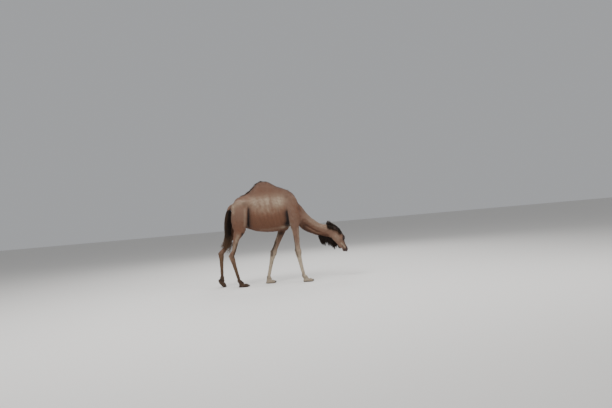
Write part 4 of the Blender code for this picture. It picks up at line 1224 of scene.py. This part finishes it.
def long_hair(name, root, first_way, tip, material, breadth, warm, stations, replaced=()):
    """Strands from each root to its tip; `warm` is how brown their ends are, from 0 to 1."""
    paths = strand_paths(root, first_way, tip, stations)
    count = len(root)
    bend = draws.normal(size=(count, 1, 3)) * np.linspace(0, 1, stations)[None, :, None] ** 2
    paths = paths + bend * (np.linalg.norm(tip - root, axis=1)[:, None, None] * 0.035)
    paths[:, :, 2] = np.maximum(paths[:, :, 2], 0.002)
    lifts = unit(draws.normal(size=(count, 3)))
    width = breadth * draws.uniform(0.7, 1.3, count)
    stored = {"tone": np.clip(draws.normal(size=count) * 0.6, -1, 1), "warm": np.broadcast_to(warm, count)}
    spots = unwrap_places(root[:, 0] - 0.3 * root[:, 2], root[:, 1])
    mesh = hair_mesh(name, paths, lifts, width, width * 0.5, stored, spots)
    put_in_scene(name, mesh, material, replaced)


def scatter(shape, most=2):
    """Draws round 0 with a spread of 1, none of them beyond a limit."""
    return np.clip(draws.normal(size=shape), -most, most)


def roots_on_skin(tree, starts, way):
    """Which straight lines meet the skin, where they first do, and the skin's normals there."""
    found = [tree.ray_cast(Vector(start), Vector(way)) for start in starts]
    kept = [k for k, hit in enumerate(found) if hit[0]]
    return kept, np.array([found[k][0] for k in kept]), np.array([found[k][1] for k in kept])


# The fringe's locks: forward and height of their tips
FRINGE = ((1.6, 0.735), (1.612, 0.688), (1.64, 0.668), (1.676, 0.655), (1.712, 0.69), (1.752, 0.641),
          (1.79, 0.64), (1.826, 0.602), (1.854, 0.57), (1.89, 0.608), (1.922, 0.628), (1.946, 0.64))
# The poll tuft's top, from its back to its front: forward and height
POLL_TUFT = ((1.748, 1.118), (1.77, 1.142), (1.79, 1.158), (1.822, 1.13), (1.854, 1.106), (1.886, 1.08),
             (1.918, 1.046), (1.95, 1.008), (1.978, 0.972), (1.996, 0.93), (2.008, 0.89))


def make_fringe(tree, material):
    """Separate locks that hang from the throat and the jaw."""
    locks, hairs = 60, 54
    mark_x, mark_z = np.array(FRINGE)[np.arange(locks) % len(FRINGE)].T
    forward = mark_x + draws.normal(size=locks) * 0.0045
    low = mark_z - 0.014 + np.abs(draws.normal(size=locks)) * 0.016
    aside = scatter(locks, 1.6) * 0.017
    lock = np.repeat(np.arange(locks), hairs)
    count = len(lock)
    spread = scatter((count, 2)) * (0.017, 0.01)
    starts = np.stack([forward[lock] - 0.012 + spread[:, 0] - BEHIND, aside[lock] + spread[:, 1],
                       np.full(count, 0.3)], 1)
    kept, root, normal = roots_on_skin(tree, starts, (0, 0, 1))
    lock = lock[kept]
    tip = np.stack([forward[lock] - BEHIND, aside[lock] * 0.8, low[lock]], 1)
    tip += scatter(tip.shape) * (0.0032, 0.0035, 0.008)
    tip[:, 2] = np.minimum(tip[:, 2] + draws.exponential(0.016, len(lock)), root[:, 2] - 0.03)
    first = unit(normal * 0.2 + (-0.2, 0.0, -0.9))
    long_hair("throat_fringe", root - normal * 0.004, first, tip, material, breadth=0.0028, warm=0.08,
              stations=5, replaced=["throat_beard"])


def make_poll_tuft(tree, material):
    """Ragged hair that stands on the poll and the end of the nape, and hangs over its sides."""
    locks, hairs = 144, 40
    top_x, top_z = np.array(POLL_TUFT).T
    forward = np.interp(np.linspace(0, 1, locks), np.linspace(0, 1, len(top_x)), top_x)
    forward = forward + draws.normal(size=locks) * 0.006
    high = np.interp(forward, top_x, top_z) + draws.uniform(-0.03, 0.014, locks)
    aside = draws.uniform(-1, 1, locks) * 0.05
    lock = np.repeat(np.arange(locks), hairs)
    count = len(lock)
    spread = scatter((count, 2)) * (0.014, 0.008)
    starts = np.stack([forward[lock] + spread[:, 0] - BEHIND, aside[lock] + spread[:, 1],
                       np.full(count, 1.6)], 1)
    kept, root, normal = roots_on_skin(tree, starts, (0, 0, -1))
    lock = lock[kept]
    on_top = (normal[:, 2] > 0.2) & (np.abs(root[:, 1]) < 0.062) & ((root - POLL) @ ALONG < 0.205)
    lock, root, normal = lock[on_top], root[on_top], normal[on_top]
    lean = rise(np.abs(aside[lock]), 0.01, 0.05)
    tip = np.stack([forward[lock] - 0.014 - BEHIND, aside[lock] * 1.4, high[lock] - 0.03 * lean], 1)
    tip += draws.normal(size=tip.shape) * (0.006, 0.005, 0.007)
    height = np.maximum(tip[:, 2] - draws.exponential(0.014, len(lock)) - root[:, 2], 0.012)
    drape = (0.06 + 0.03 * draws.random(len(lock))) * lean ** 2
    tip[:, 2] = root[:, 2] + height * (1 - lean ** 2) - drape
    tip[:, 1] += np.sign(aside[lock]) * 0.032 * lean
    first = unit(normal + (-0.2, 0.0, 0.5))
    long_hair("poll_tuft", root - normal * 0.003, first, tip, material, breadth=0.0026, warm=0.12,
              stations=4, replaced=["poll_mane"])


# The middle of the tail, and the ends of its lowest hair from the back to the front: forward and height
TAIL_LINE = ((-0.14, 1.56), (-0.192, 1.45), (-0.213, 1.3), (-0.226, 1.15), (-0.236, 1.04))
BRUSH_ENDS = ((-0.4, 0.81), (-0.37, 0.77), (-0.335, 0.72), (-0.295, 0.68), (-0.255, 0.652),
              (-0.215, 0.65), (-0.175, 0.665), (-0.135, 0.71), (-0.105, 0.78))


def make_brush(surface, body, material):
    """The tail's long hair: black in front, brown behind, ending in thin wisps."""
    count = 4400
    on_tail = np.nonzero((body.weight["tail"] > 0.6) & (body.z < 1.53))[0]
    chosen = draws.choice(on_tail, count)
    root = surface.co[chosen]
    normal = surface.normals()[chosen]
    height = root[:, 2]
    locks = 42
    lock = draws.integers(0, locks, count)
    mark_x, mark_z = np.array(BRUSH_ENDS).T
    marks = np.arange(len(mark_x))
    wisp = np.arange(locks) % 3 < 2
    end_share = draws.random(locks) * (len(marks) - 1)
    end_x = np.interp(end_share, marks, mark_x)
    end_z = np.interp(end_share, marks, mark_z) - 0.02 + draws.exponential(0.03, locks)
    end_x = np.where(wisp, end_x, -0.262 + 0.45 * (end_x + 0.262))
    end_z = np.where(wisp, end_z, 0.905 + draws.normal(size=locks) * 0.03)
    end_y = draws.uniform(-0.028, 0.028, locks)
    low_roots = rise(height, 1.22, 1.05)
    reach = 0.16 + 0.2 * draws.random(count)
    line_x, line_z = np.array(TAIL_LINE).T
    tail_x = np.interp(reach - height, -line_z, line_x)
    outward = normal * (0.022 + 0.022 * draws.random(count))[:, None]
    upper_tip = np.stack([tail_x - BEHIND, np.zeros(count), height - reach], 1) + outward * (0.9, 0.9, 0.2)
    upper_tip[:, 0] += (0.016 + 0.03 * rise(height, 1.38, 1.48)) * rise(normal[:, 0], -0.3, 0.5)
    lower_tip = np.stack([end_x[lock] - BEHIND, end_y[lock], end_z[lock]], 1)
    lower_tip += draws.normal(size=(count, 3)) * (0.01, 0.006, 0.018)
    low = low_roots[:, None]
    tip = upper_tip * (1 - low) + lower_tip * low
    first = unit(normal * 0.55 + (0.0, 0.0, -0.9))
    behind = rise(normal[:, 0], 0.15, -0.55)
    warm = np.clip(0.05 + 0.34 * behind * rise(height, 1.1, 1.3) + 0.85 * low_roots * wisp[lock], 0, 1)
    long_hair("tail_brush", root - normal * 0.003, first, tip, material, breadth=0.0034, warm=warm,
              stations=6, replaced=["tail_tuft"])


def make_crest(tree, material):
    """Thin dark hair along the top of the back and the hump."""
    count = 2400
    forward = draws.uniform(0.1, 1.14, count)
    starts = np.stack([forward - BEHIND, draws.normal(size=count) * 0.01, np.full(count, 2.6)], 1)
    kept, root, normal = roots_on_skin(tree, starts, (0, 0, -1))
    length = 0.024 + 0.022 * draws.random(len(kept))
    ragged = 0.5 + 0.5 * ripple(root, 0.12, 31)
    way = unit(np.array((-1.0, 0.0, -0.15)) + normal * (0.26 + 0.3 * ragged)[:, None])
    tip = root + way * (length * (0.7 + 0.6 * ragged))[:, None]
    tip[:, 1] += draws.normal(size=len(kept)) * 0.006
    first = unit(way + normal * 0.4)
    long_hair("crest_hair", root - normal * 0.002, first, tip, material, breadth=0.0026, warm=0.45,
              stations=3)


# ---------------------------------------------------------------- eyes and nails
def ball(name, around, high, radius, shaped):
    """A ball whose points are moved by a function of their places."""
    bm = bmesh.new()
    bmesh.ops.create_uvsphere(bm, u_segments=around, v_segments=high, radius=radius)
    for vertex in bm.verts:
        vertex.co = shaped(vertex.co)
    mesh = bpy.data.meshes.new(name)
    bm.to_mesh(mesh)
    bm.free()
    mesh.polygons.foreach_set("use_smooth", np.full(len(mesh.polygons), True))
    return mesh


def make_eye(side, material):
    """A dark, wet eyeball with a clear bulge over the iris."""
    out, slit, over = eye_axes(SIDES[side])
    turn = Matrix((slit, over, np.cross(slit, over))).transposed()
    facing = 1.0 if np.cross(slit, over) @ out > 0 else -1.0

    def bulge(co):
        away = math.hypot(co.x, co.y) / 0.015
        if co.z * facing > 0 and away < 1:
            co.z += facing * 0.0012 * (1 - away * away)
        return co

    mesh = ball(f"eyeball_{side}", 48, 32, EYE_RADIUS, bulge)
    place = Matrix.Translation(eye_centres[side]) @ turn.to_4x4()
    put_in_scene(mesh.name, mesh, material, ["eye_" + side], place)


def make_lashes(material):
    """Long lashes on the upper lids, shorter ones below."""
    roots, ways, tips = [], [], []
    for side, sign in SIDES.items():
        out, slit, over = eye_axes(sign)
        rows = ((1.0, EYE_OPENING[1], 130, 0.023), (-1.0, EYE_OPENING[2], 34, 0.007))
        for upper, height, count, length in rows:
            p = draws.uniform(-0.76, 0.8, count)
            q = upper * (height * np.maximum(1 - (p / EYE_OPENING[0]) ** 2, 0) ** 0.7 + 0.06)
            way = p[:, None] * slit + q[:, None] * over
            way += out * np.sqrt(np.maximum(1 - p ** 2 - q ** 2, 0.02))[:, None]
            root = eye_centres[side] + unit(way) * (EYE_RADIUS + LID * 0.6)
            fan = out * 0.8 + over * (upper * 0.55) + slit * (p * 0.35)[:, None]
            droop = out * 0.75 + slit * (0.42 + p * 0.35)[:, None] + over * (0.22 if upper > 0 else -0.3)
            size = length * draws.uniform(0.7, 1.15, count)[:, None]
            roots.append(root)
            ways.append(unit(fan))
            tips.append(root + unit(droop) * size)
    root, way, tip = (np.concatenate(part) for part in (roots, ways, tips))
    long_hair("eyelashes", root, way, tip, material, breadth=0.0009, warm=0.0, stations=5)


def make_brows(surface, body, material):
    """Dark hair that stands along the ridge over each eye."""
    ridge = along_line(body.along, body.fore, ((0.196, 0.066), (0.232, 0.084), (0.27, 0.07)), 0.009)
    likely = ridge * body.weight["head"] * rise(body.side, 0.045, 0.06)
    chosen = draws.choice(len(likely), 360, p=likely / likely.sum())
    root = surface.co[chosen]
    normal = surface.normals()[chosen]
    way = unit(normal * 0.16 + 0.3 * FORE - 0.8 * ALONG)
    size = draws.uniform(0.006, 0.012, len(root))[:, None]
    tip = root + unit(way + draws.normal(size=root.shape) * 0.14) * size
    first = unit(normal * 0.6 + way)
    long_hair("brow_hair", root - normal * 0.001, first, tip, material, breadth=0.0012, warm=0.4, stations=4)


def make_bristles(surface, body, material):
    """Sparse stiff hairs on the lips and the chin."""
    likely = body.weight["head"] * rise(body.along, 0.44, 0.48) * (body.side < 0.05)
    chosen = draws.choice(len(likely), 240, p=likely / likely.sum())
    root = surface.co[chosen]
    normal = surface.normals()[chosen]
    way = unit(normal + 0.7 * ALONG + draws.normal(size=root.shape) * 0.25)
    tip = root + way * draws.uniform(0.006, 0.018, len(root))[:, None]
    first = unit(normal + 0.3 * way)
    long_hair("muzzle_bristles", root - normal * 0.001, first, tip, material, breadth=0.0009, warm=0.1,
              stations=4)


def make_nails(material):
    """Blunt horny nails on the toes, ridged along their length."""
    for name in NAILS:
        low, high = corners_of(name)
        middle = Vector((low + high) / 2)
        turn = Matrix.Rotation(math.radians(80 if "hind_left" in name else 28), 3, "Y")

        def blunted(co, turn=turn, middle=middle):
            x, y, z = co
            ridge = 1 + 0.012 * math.sin(9 * math.atan2(z, y))
            blunt = 0.022 * (x if x < 0 else x ** 0.8 if x > 0 else 0)
            place = turn @ Vector((blunt, 0.0148 * y * ridge, 0.0135 * z * ridge)) + middle
            place.z = max(place.z, 0.0)
            return place

        mesh = ball("horn_" + name, 32, 20, 1.0, blunted)
        put_in_scene(mesh.name, mesh, material, [name])


# ---------------------------------------------------------------- floor, light and camera
# Soft lamps: name, place, size in metres, power in watts
LAMPS = (
    ("key", (-3.0, -6.0, 8.5), 5.0, 800),
    ("above", (0.5, 0.0, 9.5), 7.0, 420),
    ("fill", (6.0, -3.5, 5.0), 5.0, 180),
    ("back", (1.0, 7.0, 6.5), 5.0, 300),
)
# The camera's roll and upward tilt, its lens in millimetres, and its place
CAMERA_ROLL, CAMERA_TILT = math.radians(5), math.radians(0.87)
LENS = 35.0
CAMERA_PLACE = (1.35 - BEHIND, -11.7425, 1.3304)


def make_stage():
    floor = bpy.data.meshes.new("floor")
    floor.from_pydata([(-60, -60, 0), (60, -60, 0), (60, 60, 0), (-60, 60, 0)], [], [(0, 1, 2, 3)])
    obj = bpy.data.objects.new("floor", floor)
    bpy.context.scene.collection.objects.link(obj)
    finish = Finish("pale_floor", Roughness=0.9, Base_Color=colour(0.74, 0.72, 0.69))
    floor.materials.append(finish.material)

    world = bpy.data.worlds.new("studio")
    world.use_nodes = True
    sky = world.node_tree.nodes["Background"]
    sky.inputs["Color"].default_value = colour(0.9, 0.92, 0.95)
    sky.inputs["Strength"].default_value = 0.44
    bpy.context.scene.world = world
    for name, place, size, power in LAMPS:
        light = bpy.data.lights.new(name, "AREA")
        light.size = size
        light.energy = power
        lamp = bpy.data.objects.new(name, light)
        lamp.location = place
        lamp.rotation_euler = (Vector((0.0, 0.0, 1.0)) - lamp.location).to_track_quat("-Z", "Y").to_euler()
        bpy.context.scene.collection.objects.link(lamp)


def make_camera():
    """Level with the animal's belly, to its right, and rolled so that the ground slopes as it should."""
    right = Vector((math.cos(CAMERA_ROLL), 0.0, -math.sin(CAMERA_ROLL)))
    raised = Vector((math.sin(CAMERA_ROLL), 0.0, math.cos(CAMERA_ROLL)))
    ahead = Vector((0.0, 1.0, 0.0)) * math.cos(CAMERA_TILT) + raised * math.sin(CAMERA_TILT)
    up = right.cross(ahead)
    data = bpy.data.cameras.new("camera")
    data.lens = LENS
    data.sensor_width = 36.0
    camera = bpy.data.objects.new("camera", data)
    place = Matrix((right, up, -ahead)).transposed().to_4x4()
    place.translation = CAMERA_PLACE
    camera.matrix_world = place
    bpy.context.scene.collection.objects.link(camera)
    bpy.context.scene.camera = camera


# ---------------------------------------------------------------- the whole camel
def main():
    make_camera()
    make_stage()
    mesh, surface, body = build_skin()
    put_in_scene("camel_skin", mesh, skin_finish(), FLESH)
    make_coat(mesh, surface, body, tuft_finish())
    tree = BVHTree.FromPolygons(surface.co.tolist(), surface.triangles.tolist())
    hair = long_hair_finish()
    make_fringe(tree, hair)
    make_poll_tuft(tree, hair)
    make_brush(surface, body, hair)
    make_crest(tree, hair)
    make_lashes(hair)
    make_brows(surface, body, hair)
    make_bristles(surface, body, hair)
    wet = eye_finish()
    for side in SIDES:
        make_eye(side, wet)
    make_nails(nail_finish())


main()
